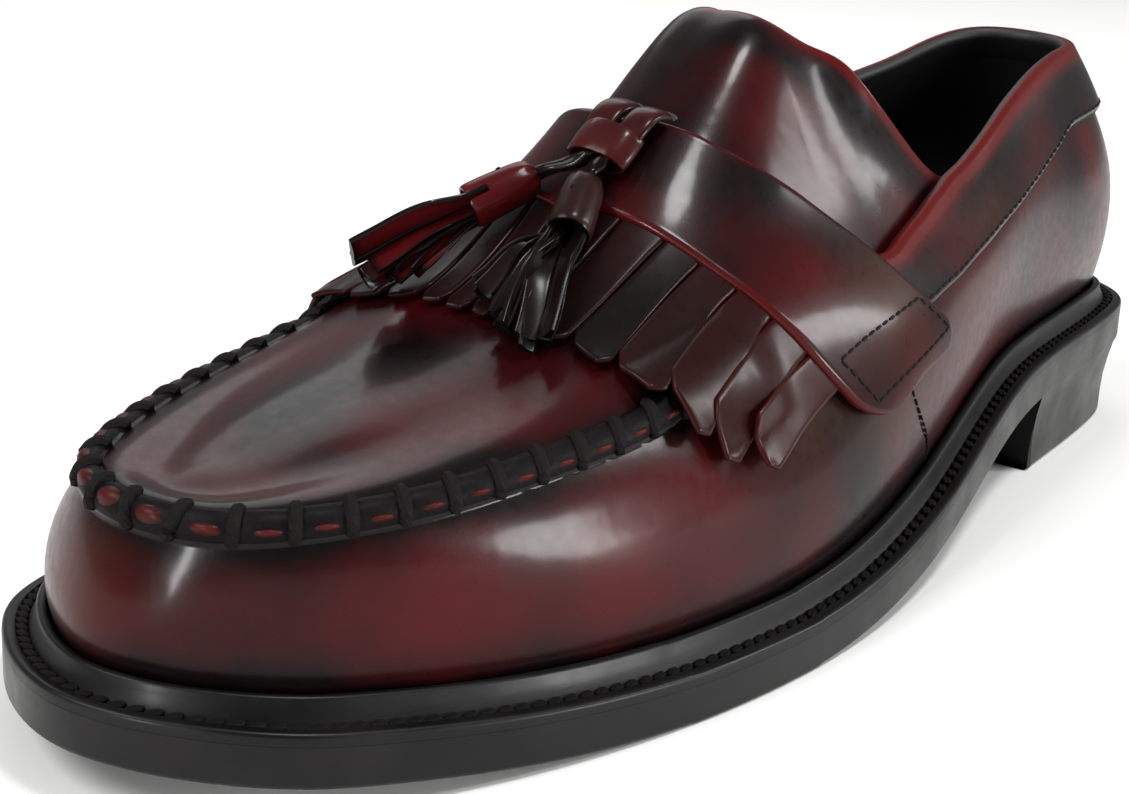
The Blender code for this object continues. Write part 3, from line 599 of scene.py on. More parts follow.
def wall(
    outer: Array, inner: Array, marks: dict, finishes: tuple[int, int] = (0, 0), keep: Array | None = None
) -> Form:
    """A closed wall between two grids of points, with a rim from one to the other along each open edge.

    Args:
        outer: the outer grid of points.
        inner: the inner grid, point for point behind the outer one.
        marks: painted marks on the grid's points, the same on both faces.
        finishes: the finish numbers of the outer face with its rim, and of the inner face.
        keep: which cells of the grid have faces, where not all of them do.

    Returns:
        The wall.
    """
    rows, across = outer.shape[:2]
    faces = grid_faces(rows, across)
    faces = faces if keep is None else faces[keep.reshape(-1)]
    points = outer.reshape(-1, 3)
    keys = np.round(points / SAME_POINT).astype(np.int64)
    _, first, same = np.unique(keys, axis=0, return_index=True, return_inverse=True)
    number = first[same.reshape(-1)]
    starts, ends = faces.ravel(), np.roll(faces, -1, axis=1).ravel()
    forth = number[starts] * len(points) + number[ends]
    back = number[ends] * len(points) + number[starts]
    open_edge = ~np.isin(forth, back) & (number[starts] != number[ends])
    a, b = starts[open_edge], ends[open_edge]
    rim = np.stack([b, a, a + len(points), b + len(points)], axis=-1)
    behind = faces[:, ::-1] + len(points)
    form = form_of(np.concatenate([points, inner.reshape(-1, 3)]), np.concatenate([faces, rim, behind]))
    form.finish[:] = finishes[0]
    form.finish[len(faces) + len(rim) :] = finishes[1]
    form.marks = {mark: np.tile(np.asarray(values, float).reshape(-1), 2) for mark, values in marks.items()}
    return form


def edge_distance(points: Array, free: tuple[bool, bool, bool, bool]) -> Array:
    """How far each point of a grid lies from its nearest free edge: first row, last row, first, last column."""
    found = np.full(points.shape[:2], np.inf)
    for axis in (0, 1):
        steps = np.linalg.norm(np.diff(points, axis=axis), axis=-1)
        run = np.insert(np.cumsum(steps, axis=axis), 0, 0, axis=axis)
        whole = run[-1:, :] if axis == 0 else run[:, -1:]
        if free[2 * axis]:
            found = np.minimum(found, run)
        if free[2 * axis + 1]:
            found = np.minimum(found, whole - run)
    return found


def slab(middle: Array, up: Array, thickness: float, share: Array, marks: dict, keep: Array | None = None) -> Form:
    """A closed wall about a middle surface, thin at its edge: half its thickness is a quarter of an ellipse over
    share, which runs from 0 at the edge to 1 where the wall is whole."""
    share = np.clip(share, 0, 1)
    half = (thickness / 2 * np.sqrt(1 - (1 - share) ** 2))[..., None]
    return wall(middle + half * up, middle - half * up, marks, keep=keep)


@dataclass
class Sheet:
    """A cut piece of leather that lies over the last, with its free edges rounded as a quarter of an ellipse."""

    last: Last
    thickness: float
    lay: float = LAY
    red: float = 1.0 * MM
    rounded: float = 0.55
    free: tuple[bool, bool, bool, bool] = (True, True, True, True)

    def form(self, t: Array, v: Array, extra: Array | float = 0.0, marks: dict | None = None) -> Form:
        """The sheet over a grid of columns and levels.

        Args:
            t: the columns of its points.
            v: the levels of its points.
            extra: how much further it stands off the last.
            marks: more painted marks on the same grid.

        Returns:
            A closed wall whose edge mark is 1 at the cut edges.
        """
        up = self.last.normal(t, v)
        rise = np.broadcast_to(np.asarray(self.lay + self.thickness / 2 + extra), t.shape)
        middle = self.last.point(t, v) + rise[..., None] * up
        away = edge_distance(middle, self.free)
        painted = {Mark.EDGE: 1 - smooth((away - 0.55 * self.red) / self.red)} | (marks or {})
        return slab(middle, up, self.thickness, away / (self.thickness * self.rounded), painted)


def beads(centres: Array, along: Array, up: Array, size: tuple[float, float, float], turn: float = 0.0) -> Form:
    """Many small pods, each an ellipsoid of 7 rings by 8 sides; the same size for all, so one set of faces serves.

    Args:
        centres: the middle of each pod.
        along: the unit direction of each pod's length.
        up: the unit direction of each pod's height.
        size: length, width and height.
        turn: how far each is turned about its up direction, in radians.

    Returns:
        The pods as one form.
    """
    across = np.cross(up, along)
    ahead = math.cos(turn) * along + math.sin(turn) * across
    beside = -math.sin(turn) * along + math.cos(turn) * across
    rings, sides = 7, 8
    latitude = np.linspace(0, math.pi, rings)[:, None]
    longitude = full_turn(sides)
    x = np.cos(latitude) * np.ones(sides) * size[0] / 2
    y = np.sin(latitude) ** 0.7 * np.cos(longitude) * size[1] / 2
    z = np.sin(latitude) ** 0.7 * np.sin(longitude) * size[2] / 2
    points = (
        centres[:, None, None]
        + x[..., None] * ahead[:, None, None]
        + y[..., None] * beside[:, None, None]
        + z[..., None] * up[:, None, None]
    )
    return form_of(points, copied(grid_faces(rings, sides, ring=True), rings * sides, len(centres)))


def tubes(paths: Array, radius: Array | float, sides: int = 8) -> Form:
    """Round cords along many paths of the same number of points, their ends drawn together."""
    ahead = to_unit(np.gradient(paths, axis=1))
    # A steady direction that no cord here runs along
    level = np.broadcast_to(np.array([0.13, 0.22, 0.97]), ahead.shape)
    side = to_unit(np.cross(ahead, level))
    up = np.cross(side, ahead)
    angle = full_turn(sides)
    count = paths.shape[1]
    ends = np.ones(count)
    ends[[0, -1]] = 0
    size = np.broadcast_to(radius, (count,)) * ends
    ring = np.cos(angle)[:, None] * side[:, :, None] + np.sin(angle)[:, None] * up[:, :, None]
    points = paths[:, :, None] + size[:, None, None] * ring
    return form_of(points, copied(grid_faces(count, sides, ring=True), count * sides, len(paths)))


def curve(points: list | Array, count: int) -> Array:
    """A smooth path of count points through a few, cubic in the distance along them."""
    points = np.asarray(points, float)
    knots = run_along(points)
    return cubic(knots, points, knot_slopes(knots, points), np.linspace(0, knots[-1], count))


def bar(
    path: Array, widths: Array | float, thickness: float, side: Array, power: float = 4.0, bow: float = 0.0
) -> Form:
    """A strip carried along a path, its section a rounded box: |x|^p + |y|^p = 1, with its ends drawn together.

    Args:
        path: the points it follows.
        widths: its width at each of them.
        thickness: its thickness, the same all along.
        side: the direction of its width, the same for all or one for each point.
        power: 2 for an ellipse, more for a boxier section.
        bow: how far the middle of the section is bent up, as a share of the width.

    Returns:
        The strip, with its edge mark 1 along both cut edges.
    """
    # The second and last but one points are drawn near the ends, so that each end closes in a short cap
    path, cap = path.copy(), 0.12
    path[1] = path[0] + cap * (path[1] - path[0])
    path[-2] = path[-1] + cap * (path[-2] - path[-1])
    ahead = to_unit(np.gradient(path, axis=0))
    across = to_unit(side - (side * ahead).sum(axis=1, keepdims=True) * ahead)
    up = np.cross(ahead, across)
    angle = 2 * math.pi * (np.arange(BAR_SIDES) + 0.5) / BAR_SIDES
    x = np.sign(np.cos(angle)) * np.abs(np.cos(angle)) ** (2 / power)
    y = np.sign(np.sin(angle)) * np.abs(np.sin(angle)) ** (2 / power)
    count = len(path)
    wide = np.broadcast_to(widths, (count,))[:, None] / 2
    thick = thickness / 2
    close = np.concatenate([[0, 0.97], np.ones(count - 4), [0.97, 0]])[:, None]
    lift = close * bow * 2 * wide * (1 - x * x)
    points = (
        path[:, None]
        + (close * wide * x)[..., None] * across[:, None]
        + (close * thick * y + lift)[..., None] * up[:, None]
    )
    edge = np.tile(smooth((np.abs(x) - 0.72) / 0.25), (count, 1))
    edge[[0, 1, -2, -1]] = 1
    return form_of(points, grid_faces(count, BAR_SIDES, ring=True), marks={Mark.EDGE: edge})


def linear(code: str) -> tuple[float, float, float, float]:
    """An sRGB hex colour as the linear numbers that shaders take."""
    parts = [int(code[i : i + 2], 16) / 255 for i in (1, 3, 5)]
    parts = [part / 12.92 if part <= 0.04045 else ((part + 0.055) / 1.055) ** 2.4 for part in parts]
    return (*parts, 1.0)


def add(tree: bpy.types.NodeTree, kind: str, inputs: dict | None = None, **settings) -> bpy.types.Node:
    """Adds a node.

    Args:
        tree: the material's node tree.
        kind: the node's type, without the words that all shader nodes start with.
        inputs: for each input by name, an output socket to link or a value to set.
        settings: the node's own properties.

    Returns:
        The node.
    """
    node = tree.nodes.new("ShaderNode" + kind)
    for name, value in settings.items():
        setattr(node, name, value)
    for name, value in (inputs or {}).items():
        if isinstance(value, bpy.types.NodeSocket):
            tree.links.new(value, node.inputs[name])
        else:
            node.inputs[name].default_value = value
    return node


def per_metre(size_mm: float) -> float:
    """The scale of a pattern, from its real size in millimetres."""
    return 1 / (size_mm * MM)


def span(value: bpy.types.NodeSocket, low: float, high: float, to_low: float, to_high: float) -> dict:
    """Inputs that map the range from low to high to another range."""
    return {"Value": value, "From Min": low, "From Max": high, "To Min": to_low, "To Max": to_high}


def blend(share: bpy.types.NodeSocket, first: object, second: object) -> dict:
    """Inputs that mix two colours, all of the second one at a share of 1."""
    return {"Fac": share, "Color1": first, "Color2": second}


def pattern(place: bpy.types.NodeSocket, size_mm: float, detail: float, roughness: float = 0.5) -> dict:
    """Inputs of a cloudy pattern of this real size."""
    return {"Vector": place, "Scale": per_metre(size_mm), "Detail": detail, "Roughness": roughness}


def relief_of(height: bpy.types.NodeSocket, strength: float, depth_mm: float, over: dict | None = None) -> dict:
    """Inputs that turn a pattern into fine relief of this real depth, over another relief where one is given."""
    return {"Height": height, "Strength": strength, "Distance": depth_mm * MM} | (over or {})


@dataclass(frozen=True)
class Finish:
    """A finish of one real material. Each kind says what its shader gets."""

    name: str

    def look(self, tree: bpy.types.NodeTree, place: bpy.types.NodeSocket) -> dict:
        """The shader's inputs, with patterns in the piece's Object coordinates."""
        raise NotImplementedError

    def make(self) -> bpy.types.Material:
        """The material."""
        made = bpy.data.materials.new(self.name)
        made.use_nodes = True
        tree = made.node_tree
        tree.nodes.clear()
        place = add(tree, "TexCoord").outputs["Object"]
        shader = add(tree, "BsdfPrincipled", self.look(tree, place))
        add(tree, "OutputMaterial", {"Surface": shader.outputs["BSDF"]})
        return made


@dataclass(frozen=True)
class PolishedLeather(Finish):
    """Box calf, dyed oxblood, polished and burnished by hand: a clear hard gloss over depths that shift from cherry
    to near black, with brown where the top coat has been rubbed thin."""

    cherry: str = "#400407"
    dark: str = "#0A0405"
    brown: str = "#33180B"
    gleam: str = "#4B0D0C"
    edge: str = "#510D0F"
    darkness: float = 0.50
    roughness: float = 0.30
    coat: float = 0.24
    coat_roughness: float = 0.14
    coat_ior: float = 1.42
    specular: float = 0.08
    mottle_mm: float = 24.0
    speck_mm: float = 2.2
    pore_mm: float = 0.5
    grain: float = 0.14
    wave_mm: float = 9.0
    wave_depth_mm: float = 0.35
    swell: float = 0.20

    def look(self, tree: bpy.types.NodeTree, place: bpy.types.NodeSocket) -> dict:
        """A dye mixed by the piece's own marks, whose darkening also carries painted shade in hollows, and by
        mottling, under a coat with its own soft swell.
        """
        marks = {mark: add(tree, "Attribute", attribute_name=mark.value).outputs["Fac"] for mark in Mark}
        cloud = add(tree, "TexNoise", pattern(place, self.mottle_mm, 2.5, 0.45))
        fine = add(tree, "TexNoise", pattern(place, self.speck_mm, 4.0, 0.65))
        uneven = add(tree, "MapRange", span(cloud.outputs["Fac"], 0.36, 0.64, -0.26, 0.30)).outputs["Result"]
        speck = add(tree, "MapRange", span(fine.outputs["Fac"], 0.3, 0.7, -0.05, 0.05)).outputs["Result"]
        shade = add(tree, "Math", {0: marks[Mark.BURNISH_AND_SHADE], 1: uneven}, operation="ADD")
        shade = add(tree, "Math", {0: shade.outputs["Value"], 1: speck}, operation="ADD")
        shade = add(tree, "Math", {0: shade.outputs["Value"], 1: self.darkness}, operation="ADD", use_clamp=True)
        rubbed = {0: marks[Mark.BROWN], 1: uneven, 2: marks[Mark.BROWN]}
        worn = add(tree, "Math", rubbed, operation="MULTIPLY_ADD", use_clamp=True)
        base = add(tree, "MixRGB", blend(shade.outputs["Value"], linear(self.cherry), linear(self.dark)))
        paints = (
            (worn.outputs["Value"], self.brown),
            (marks[Mark.GLEAM], self.gleam),
            (marks[Mark.EDGE], self.edge),
        )
        for share, colour in paints:
            base = add(tree, "MixRGB", blend(share, base.outputs["Color"], linear(colour)))
        pores = add(tree, "TexVoronoi", {"Vector": place, "Scale": per_metre(self.pore_mm)})
        wave = add(tree, "TexNoise", pattern(place, self.wave_mm, 2.0))
        swell = add(tree, "Bump", relief_of(wave.outputs["Fac"], self.swell, self.wave_depth_mm))
        over = {"Normal": swell.outputs["Normal"]}
        grain = add(tree, "Bump", relief_of(pores.outputs["Distance"], self.grain, 0.1 * self.pore_mm, over))
        limits = self.roughness - 0.04, self.roughness + 0.08
        rough = add(tree, "MapRange", span(fine.outputs["Fac"], 0.3, 0.7, *limits))
        return {
            "Base Color": base.outputs["Color"],
            "Roughness": rough.outputs["Result"],
            "Normal": grain.outputs["Normal"],
            "Coat Normal": swell.outputs["Normal"],
            "Coat Weight": self.coat,
            "Coat Roughness": self.coat_roughness,
            "Coat IOR": self.coat_ior,
            "Specular IOR Level": self.specular,
        }


@dataclass(frozen=True)
class DressedEdge(Finish):
    """Leather sole edge, sanded, inked black and waxed: satin, with fine lines along it from the hot iron."""

    colour: str = "#0A0808"
    worn: str = "#151212"
    roughness: float = 0.36
    line_mm: float = 0.7
    line_depth_mm: float = 0.12
    strength: float = 0.25
    patch_mm: float = 11.0
    grit_mm: float = 0.45
    coat: float = 0.09
    specular: float = 0.18

    def look(self, tree: bpy.types.NodeTree, place: bpy.types.NodeSocket) -> dict:
        """Ink worn lighter in patches, with level lines from a pattern stretched along the shoe."""
        layered = add(tree, "Mapping", {"Vector": place, "Scale": (0.03, 0.03, 1.0)}).outputs["Vector"]
        lines = add(tree, "TexNoise", pattern(layered, self.line_mm, 3.0))
        patch = add(tree, "TexNoise", pattern(place, self.patch_mm, 4.0))
        grit = add(tree, "TexNoise", pattern(place, self.grit_mm, 2.0))
        shade = add(tree, "MapRange", span(patch.outputs["Fac"], 0.4, 0.75, 0.0, 1.0))
        base = add(tree, "MixRGB", blend(shade.outputs["Result"], linear(self.colour), linear(self.worn)))
        limits = self.roughness - 0.06, self.roughness + 0.12
        rough = add(tree, "MapRange", span(patch.outputs["Fac"], 0.3, 0.7, *limits))
        ruled = add(tree, "Bump", relief_of(lines.outputs["Fac"], self.strength, self.line_depth_mm))
        over = {"Normal": ruled.outputs["Normal"]}
        bump = add(tree, "Bump", relief_of(grit.outputs["Fac"], 0.18, 0.06, over))
        return {
            "Base Color": base.outputs["Color"],
            "Roughness": rough.outputs["Result"],
            "Normal": bump.outputs["Normal"],
            "Coat Weight": self.coat,
            "Coat Roughness": 0.25,
            "Specular IOR Level": self.specular,
        }


@dataclass(frozen=True)
class WaxedThread(Finish):
    """Linen thread, waxed black and laid up by hand: dull and fibrous, with a twist that catches the light."""

    colour: str = "#070505"
    fibre: str = "#120D0D"
    roughness: float = 0.7
    twist_mm: float = 0.6

    def look(self, tree: bpy.types.NodeTree, place: bpy.types.NodeSocket) -> dict:
        """Two blacks mixed and raised by the same twist."""
        ply = add(tree, "TexNoise", pattern(place, self.twist_mm, 3.0, 0.7))
        base = add(tree, "MixRGB", blend(ply.outputs["Fac"], linear(self.colour), linear(self.fibre)))
        bump = add(tree, "Bump", relief_of(ply.outputs["Fac"], 0.7, 0.2))
        return {
            "Base Color": base.outputs["Color"],
            "Roughness": self.roughness,
            "Specular IOR Level": 0.12,
            "Normal": bump.outputs["Normal"],
        }


@dataclass(frozen=True)
class Lining(Finish):
    """Glove leather lining, drum dyed and left unpolished: matt black with a soft fine grain."""

    colour: str = "#0D0B0B"
    worn: str = "#181514"
    roughness: float = 0.55
    grain_mm: float = 0.8
    patch_mm: float = 14.0

    def look(self, tree: bpy.types.NodeTree, place: bpy.types.NodeSocket) -> dict:
        """Two blacks in wide patches, with a fine grain."""
        grain = add(tree, "TexVoronoi", {"Vector": place, "Scale": per_metre(self.grain_mm)})
        patch = add(tree, "TexNoise", pattern(place, self.patch_mm, 3.0))
        base = add(tree, "MixRGB", blend(patch.outputs["Fac"], linear(self.colour), linear(self.worn)))
        bump = add(tree, "Bump", relief_of(grain.outputs["Distance"], 0.3, 0.08))
        return {
            "Base Color": base.outputs["Color"],
            "Roughness": self.roughness,
            "Normal": bump.outputs["Normal"],
        }


@dataclass
class Shelf:
    """The finishes of the shoe, each made once."""

    upper: bpy.types.Material
    strap: bpy.types.Material
    kiltie: bpy.types.Material
    knot: bpy.types.Material
    near_tassel: bpy.types.Material
    far_tassel: bpy.types.Material
    rope: bpy.types.Material
    painted: bpy.types.Material
    gap_leather: bpy.types.Material
    thread: bpy.types.Material
    lining: bpy.types.Material
    welt: bpy.types.Material
    edge: bpy.types.Material
    heel: bpy.types.Material


def finishes() -> Shelf:
    """Makes every finish."""
    kinds = {
        "upper": PolishedLeather("burnished_box_calf"),
        "strap": PolishedLeather("burnished_strap_calf", edge="#4C0C0E", darkness=0.56, coat_roughness=0.12),
        "kiltie": PolishedLeather(
            "burnished_fringe_calf", cherry="#210A0A", dark="#0D0807", brown="#2B150D", edge="#430F0F",
            darkness=0.62, coat=0.12, coat_roughness=0.2,
        ),
        "knot": PolishedLeather(
            "rubbed_thong_calf", cherry="#3D0F10", dark="#130707", edge="#210A0A", darkness=0.25,
        ),
        # The two tassels are the same leather: the near one's finish is a darker, browner copy as painted shade,
        # the far one's a lighter, redder copy as painted light
        "near_tassel": PolishedLeather(
            "tassel_calf_painted_shade", cherry="#2C1614", dark="#0C0606", edge="#070404",
            darkness=0.4, coat=0.2, coat_roughness=0.2,
        ),
        "far_tassel": PolishedLeather(
            "tassel_calf_painted_light", cherry="#500D10", dark="#190707", edge="#080404",
            darkness=0.24, coat=0.22, coat_roughness=0.18,
        ),
        # The seam's leather is waxed and handled as it is sewn, so it is dull and coarse
        "rope": PolishedLeather(
            "seam_rope_calf", cherry="#160908", dark="#080505", darkness=0.5, roughness=0.6,
            coat=0.06, coat_roughness=0.4, pore_mm=0.9, grain=0.9,
        ),
        "painted": PolishedLeather(
            "painted_edge_calf", edge="#5A1010", roughness=0.42, coat=0.10, coat_roughness=0.28,
        ),
        "gap_leather": PolishedLeather(
            "seam_red_calf", cherry="#40100E", dark="#190707", darkness=0.2, mottle_mm=5.0,
            roughness=0.45, coat=0.15, coat_roughness=0.3,
        ),
        "thread": WaxedThread("waxed_linen_thread"),
        "lining": Lining("black_glove_lining"),
        "welt": DressedEdge("inked_welt", colour="#070606", worn="#0F0D0D", roughness=0.40),
        "edge": DressedEdge("waxed_sole_edge"),
        "heel": DressedEdge("waxed_heel_edge", colour="#0A0908", worn="#161312"),
    }
    return Shelf(**{name: kind.make() for name, kind in kinds.items()})


@dataclass
class Bench:
    """Where the forms are made into pieces of the shoe."""

    centre: Array

    def piece(
        self, name: str, form: Form, materials: list, place: Place, nodes: tuple = (), sharp: float = 42.0
    ) -> bpy.types.Object:
        """Makes one piece.

        Args:
            name: its name.
            form: its points, faces and marks, in the last's own frame.
            materials: its finishes, by finish number.
            place: the record's slot for its finish; not used.
            nodes: the CAD nodes that it stands for.
            sharp: the angle in degrees past which an edge is drawn sharp.

        Returns:
            The object, at the origin, with its place in its mesh.
        """
        mesh = bpy.data.meshes.new(name)
        mesh.from_pydata((form.points - self.centre).tolist(), [], form.faces.tolist())
        for mark, values in form.marks.items():
            layer = mesh.attributes.new(mark.value, "FLOAT", "POINT")
            layer.data.foreach_set("value", np.asarray(values, np.float32))
        for material in materials:
            mesh.materials.append(material)
        mesh.polygons.foreach_set("material_index", np.asarray(form.finish, np.int32))
        # Points that meet become one, and points that no face uses go
        made = bmesh.new()
        made.from_mesh(mesh)
        bmesh.ops.remove_doubles(made, verts=made.verts, dist=SAME_POINT)
        loose = [vert for vert in made.verts if not vert.link_faces]
        bmesh.ops.delete(made, geom=loose, context="VERTS")
        bmesh.ops.recalc_face_normals(made, faces=made.faces)
        made.to_mesh(mesh)
        made.free()
        mesh.shade_smooth()
        mesh.set_sharp_from_angle(angle=math.radians(sharp))
        thing = bpy.data.objects.new(name, mesh)
        bpy.context.scene.collection.objects.link(thing)
        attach(thing, "root")
        if nodes:
            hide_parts(*nodes)
        LOG.info("%s: %d faces", name, len(mesh.polygons))
        return thing


@dataclass(frozen=True)
class Spot:
    """A soft patch on the leather: column, level, reach along and up in millimetres, and strength."""

    t: float
    v: float
    along: float
    up: float
    strength: float = 1.0


def spotted(last: Last, spots: list[Spot], t: Array, v: Array) -> Array:
    """The sum of the patches, each a bell in both directions, held to 1."""
    total = np.zeros(t.shape)
    for spot in spots:
        at = (np.array([spot.t]), np.array([spot.v]))
        ahead = (np.mod(t - spot.t + TOE, 2 * TOE) - TOE) * last.per_column(*at)[0] / (spot.along * MM)
        above = (v - spot.v) * last.per_level(*at)[0] / (spot.up * MM)
        total += spot.strength * bell(ahead) * bell(above)
    return np.clip(total, 0, 1)


@dataclass
class Part:
    """A part of the shoe, with what it is made of: the last, the finishes and the bench."""

    last: Last
    shelf: Shelf
    bench: Bench


@dataclass
class SoleUnit(Part):
    """Outsole, heel block, welt with its stitched channel, and the sock inside."""

    edge_round: float = 0.0009
    bead_height: float = 0.0035
    bead_width: float = 0.0018
    bead_away: float = 0.0003
    groove_depth: float = 0.0011
    groove_width: float = 0.0022
    groove_from_edge: float = 0.0020
    heel_inset: float = 0.0004
    heel_taper: float = 0.0025
    breast_top: float = 0.236
    breast_foot: float = 0.228
    heel_waist: float = 0.0007
    heel_sink: float = 0.0002
    welt_sink: float = 0.0001
    insole_thickness: float = 0.003
    leather: float = 0.0015
    stitch_pitch: float = 0.0030
    around: int = 384

    def build(self) -> None:
        """Makes the five pieces."""
        self.outsole()
        self.heel()
        self.welt()
        self.channel_stitches()
        self.insole()

    def ring(self) -> Array:
        """Columns once round the shoe."""
        return (np.arange(self.around) + 0.5) * 2 * TOE / self.around

    def layered(self, rings: list[Array]) -> Form:
        """A solid through level rings, closed at both ends by rungs from side to side."""
        count = len(rings[0])
        sides = grid_faces(len(rings), count, ring=True)
        k = np.arange(count // 2 - 1)
        ladder = np.stack([k, k + 1, count - k - 2, count - k - 1], axis=-1)
        caps = np.concatenate([ladder, ladder + (len(rings) - 1) * count])
        return form_of(np.concatenate(rings), np.concatenate([sides, caps]))

    def rounded(self, bottom: float, top: float, inset: float = 0.0) -> list[tuple[float, float]]:
        """Inset and height up a wall whose lower edge is a quarter round."""
        turn = np.linspace(0, math.pi / 2, 6)
        draw, rise = self.edge_round * (1 - np.sin(turn)), self.edge_round * (1 - np.cos(turn))
        return [(inset + 3 * self.edge_round, bottom), *zip(inset + draw, bottom + rise), (inset, top)]

    def outsole(self) -> None:
        """The sole, its wall running up to the welt, with eased lower edge."""
        rows = self.rounded(0.0, self.last.outsole_thickness + GAP)
        rings = [self.last.at_sole(self.ring(), inset, height) for inset, height in rows]
        self.bench.piece("waxed_outsole", self.layered(rings), [self.shelf.edge], Place.SOLE, ("outsole",))

    def heel(self) -> None:
        """The heel block: a straight breast, sides that taper to the ground and a rounded foot."""
        fine = np.linspace(2, 6, 401)
        edge = self.last.sole_edge(fine)[:, 1]
        breast = float(np.interp(-self.last.length * (0.5 - self.breast_top), -edge, fine))
        side = np.linspace(0.02, breast, 90)
        ring = np.concatenate([side, 2 * TOE - side[::-1]])
        top = self.last.at_sole(ring, self.heel_inset, self.heel_sink)
        foot = self.last.sole_edge(ring) - self.heel_taper * self.last.outward(ring)
        corners = [len(side) - 1, len(side)]
        top[corners, 1] = self.last.length * (0.5 - self.breast_top)
        top[:, 2] = self.last.sole_bottom(top[:, 1]) + self.heel_sink
        foot[corners, 1] = self.last.length * (0.5 - self.breast_foot)
        foot[:, 2] = 0
        rings = []
        for angle in np.linspace(0, math.pi / 2, 5):
            rise = self.edge_round * (1 - math.cos(angle))
            draw = self.edge_round * (1 - math.sin(angle))
            row = foot + (top - foot) * (rise / self.last.heel_height)
            row -= draw * self.last.outward(ring)
            row[:, 2] = rise
            rings.append(row)
        start = rings[-1]
        for share in (0.25, 0.5, 0.75, 1.0):
            waist = self.heel_waist * math.sin(math.pi * share)
            row = start + (top - start) * share - waist * self.last.outward(ring)
            row[:, 2] = start[:, 2] + (top[:, 2] - start[:, 2]) * share
            rings.append(row)
        self.bench.piece("waxed_heel", self.layered(rings), [self.shelf.heel], Place.HEEL, ("heel",))

    def welt_rows(self) -> list[tuple[float, float, float]]:
        """The welt's section: distance out of the feather, share of the upper's lean, height above the sole."""
        wide, top = self.last.welt_width, self.last.welt_top
        mouth = wide - self.groove_from_edge
        low, curve_of = self.last.upper_foot - self.welt_sink, self.edge_round
        rows = [(0.0, 0.0, low), (wide, 0.0, low)]
        for angle in np.linspace(0, math.pi / 2, 6):
            rows.append((wide - curve_of * (1 - math.cos(angle)), 0.0, top - curve_of * (1 - math.sin(angle))))
        for share in np.linspace(0, 1, 9):
            depth = self.groove_depth * math.sin(math.pi * share) ** 0.7
            rows.append((mouth - share * self.groove_width, 0.0, top - depth))
        bead = self.bead_width
        for angle in np.linspace(0, math.pi, 11):
            out = bead * (0.5 + 0.5 * math.cos(angle)) + self.bead_away
            # The two ends of the bead's round are set lower, where it stands on the welt
            foot = 0.3 if 0 < angle < math.pi else 0.8
            rows.append((out, 1.0, top + self.bead_height + bead * (0.35 * math.sin(angle) - foot)))
        rows.append((0.0, 0.0, top))
        return rows

    def welt(self) -> None:
        """The welt: a rim with rounded edge, a stitching channel, and a round bead standing against the upper."""
        t = self.ring()
        foot, out = self.last.feather(t), self.last.outward(t)
        lean = self.last.point(t, self.last.level_at(t, self.bead_height)) - foot
        lean = (lean * out).sum(axis=1, keepdims=True) * out
        rows = []
        for away, leaning, height in self.welt_rows():
            row = foot + away * out + leaning * lean
            row[:, 2] = self.last.sole_bottom(row[:, 1]) + height
            rows.append(row)
        rows.append(rows[0])
        form = form_of(np.array(rows), grid_faces(len(rows), len(t), ring=True))
        self.bench.piece("inked_welt", form, [self.shelf.welt], Place.WELT, ("welt",), sharp=60.0)

    def channel_stitches(self) -> None:
        """Rope-like stitches in the channel, two leaning strands for each."""
        fine = np.linspace(0, 2 * TOE, 4001)
        inset = self.groove_from_edge + self.groove_width / 2
        run = self.last.at_sole(fine, inset, self.last.welt_top - 0.25 * self.groove_depth)
        distance = run_along(run)
        count = int(distance[-1] / self.stitch_pitch)
        spots = np.interp((np.arange(count) + 0.5) * distance[-1] / count, distance, fine)
        centres = self.last.at_sole(spots, inset, self.last.welt_top - 0.3 * self.groove_depth)
        out = self.last.outward(spots)
        up = np.broadcast_to(np.array([0, 0, 1.0]), out.shape)
        along = np.cross(out, up)
        size = (self.stitch_pitch * 0.98, 0.0011, 0.0010)
        apart = 0.0003 * out
        form = joined([beads(centres + side * apart, along, up, size, turn=0.42) for side in (-1, 1)])
        self.bench.piece("welt_stitches", form, [self.shelf.thread], Place.WELT)

    def insole(self) -> None:
        """The sock that covers the bottom inside, its edge eased."""
        inset = self.last.welt_width + self.leather + GAP
        foot, top = self.last.upper_foot, self.last.upper_foot + self.insole_thickness
        rows = [(inset, foot), (inset, top - 0.0006), (inset + 0.0002, top - 0.0002), (inset + 0.0007, top)]
        rings = [self.last.at_sole(self.ring(), away, height) for away, height in rows]
        self.bench.piece("lining_sock", self.layered(rings), [self.shelf.lining], Place.LINING, ("insole",))


# The strap's back and front edges, from its sewn end up to the crest
STRAP_BACK = table(
    "v t",
    """
0.338 6.42
0.36 6.57
0.44 7.29
0.53 7.85
0.61 8.39
0.69 8.81
0.77 9.10
0.87 9.29
1.00 9.45
""",
)
STRAP_FRONT = table(
    "v t",
    """
0.25 8.65
0.27 8.78
0.35 9.18
0.45 9.47
0.57 9.69
0.71 9.88
0.85 10.05
1.00 10.20
""",
)
# The collar band's lower edge
BAND_EDGE = table(
    "t v",
    """
0.00 0.630
2.80 0.630
3.14 0.588
3.68 0.549
4.19 0.527
4.72 0.519
5.32 0.494
6.01 0.446
6.66 0.419
6.93 0.406
""",
)


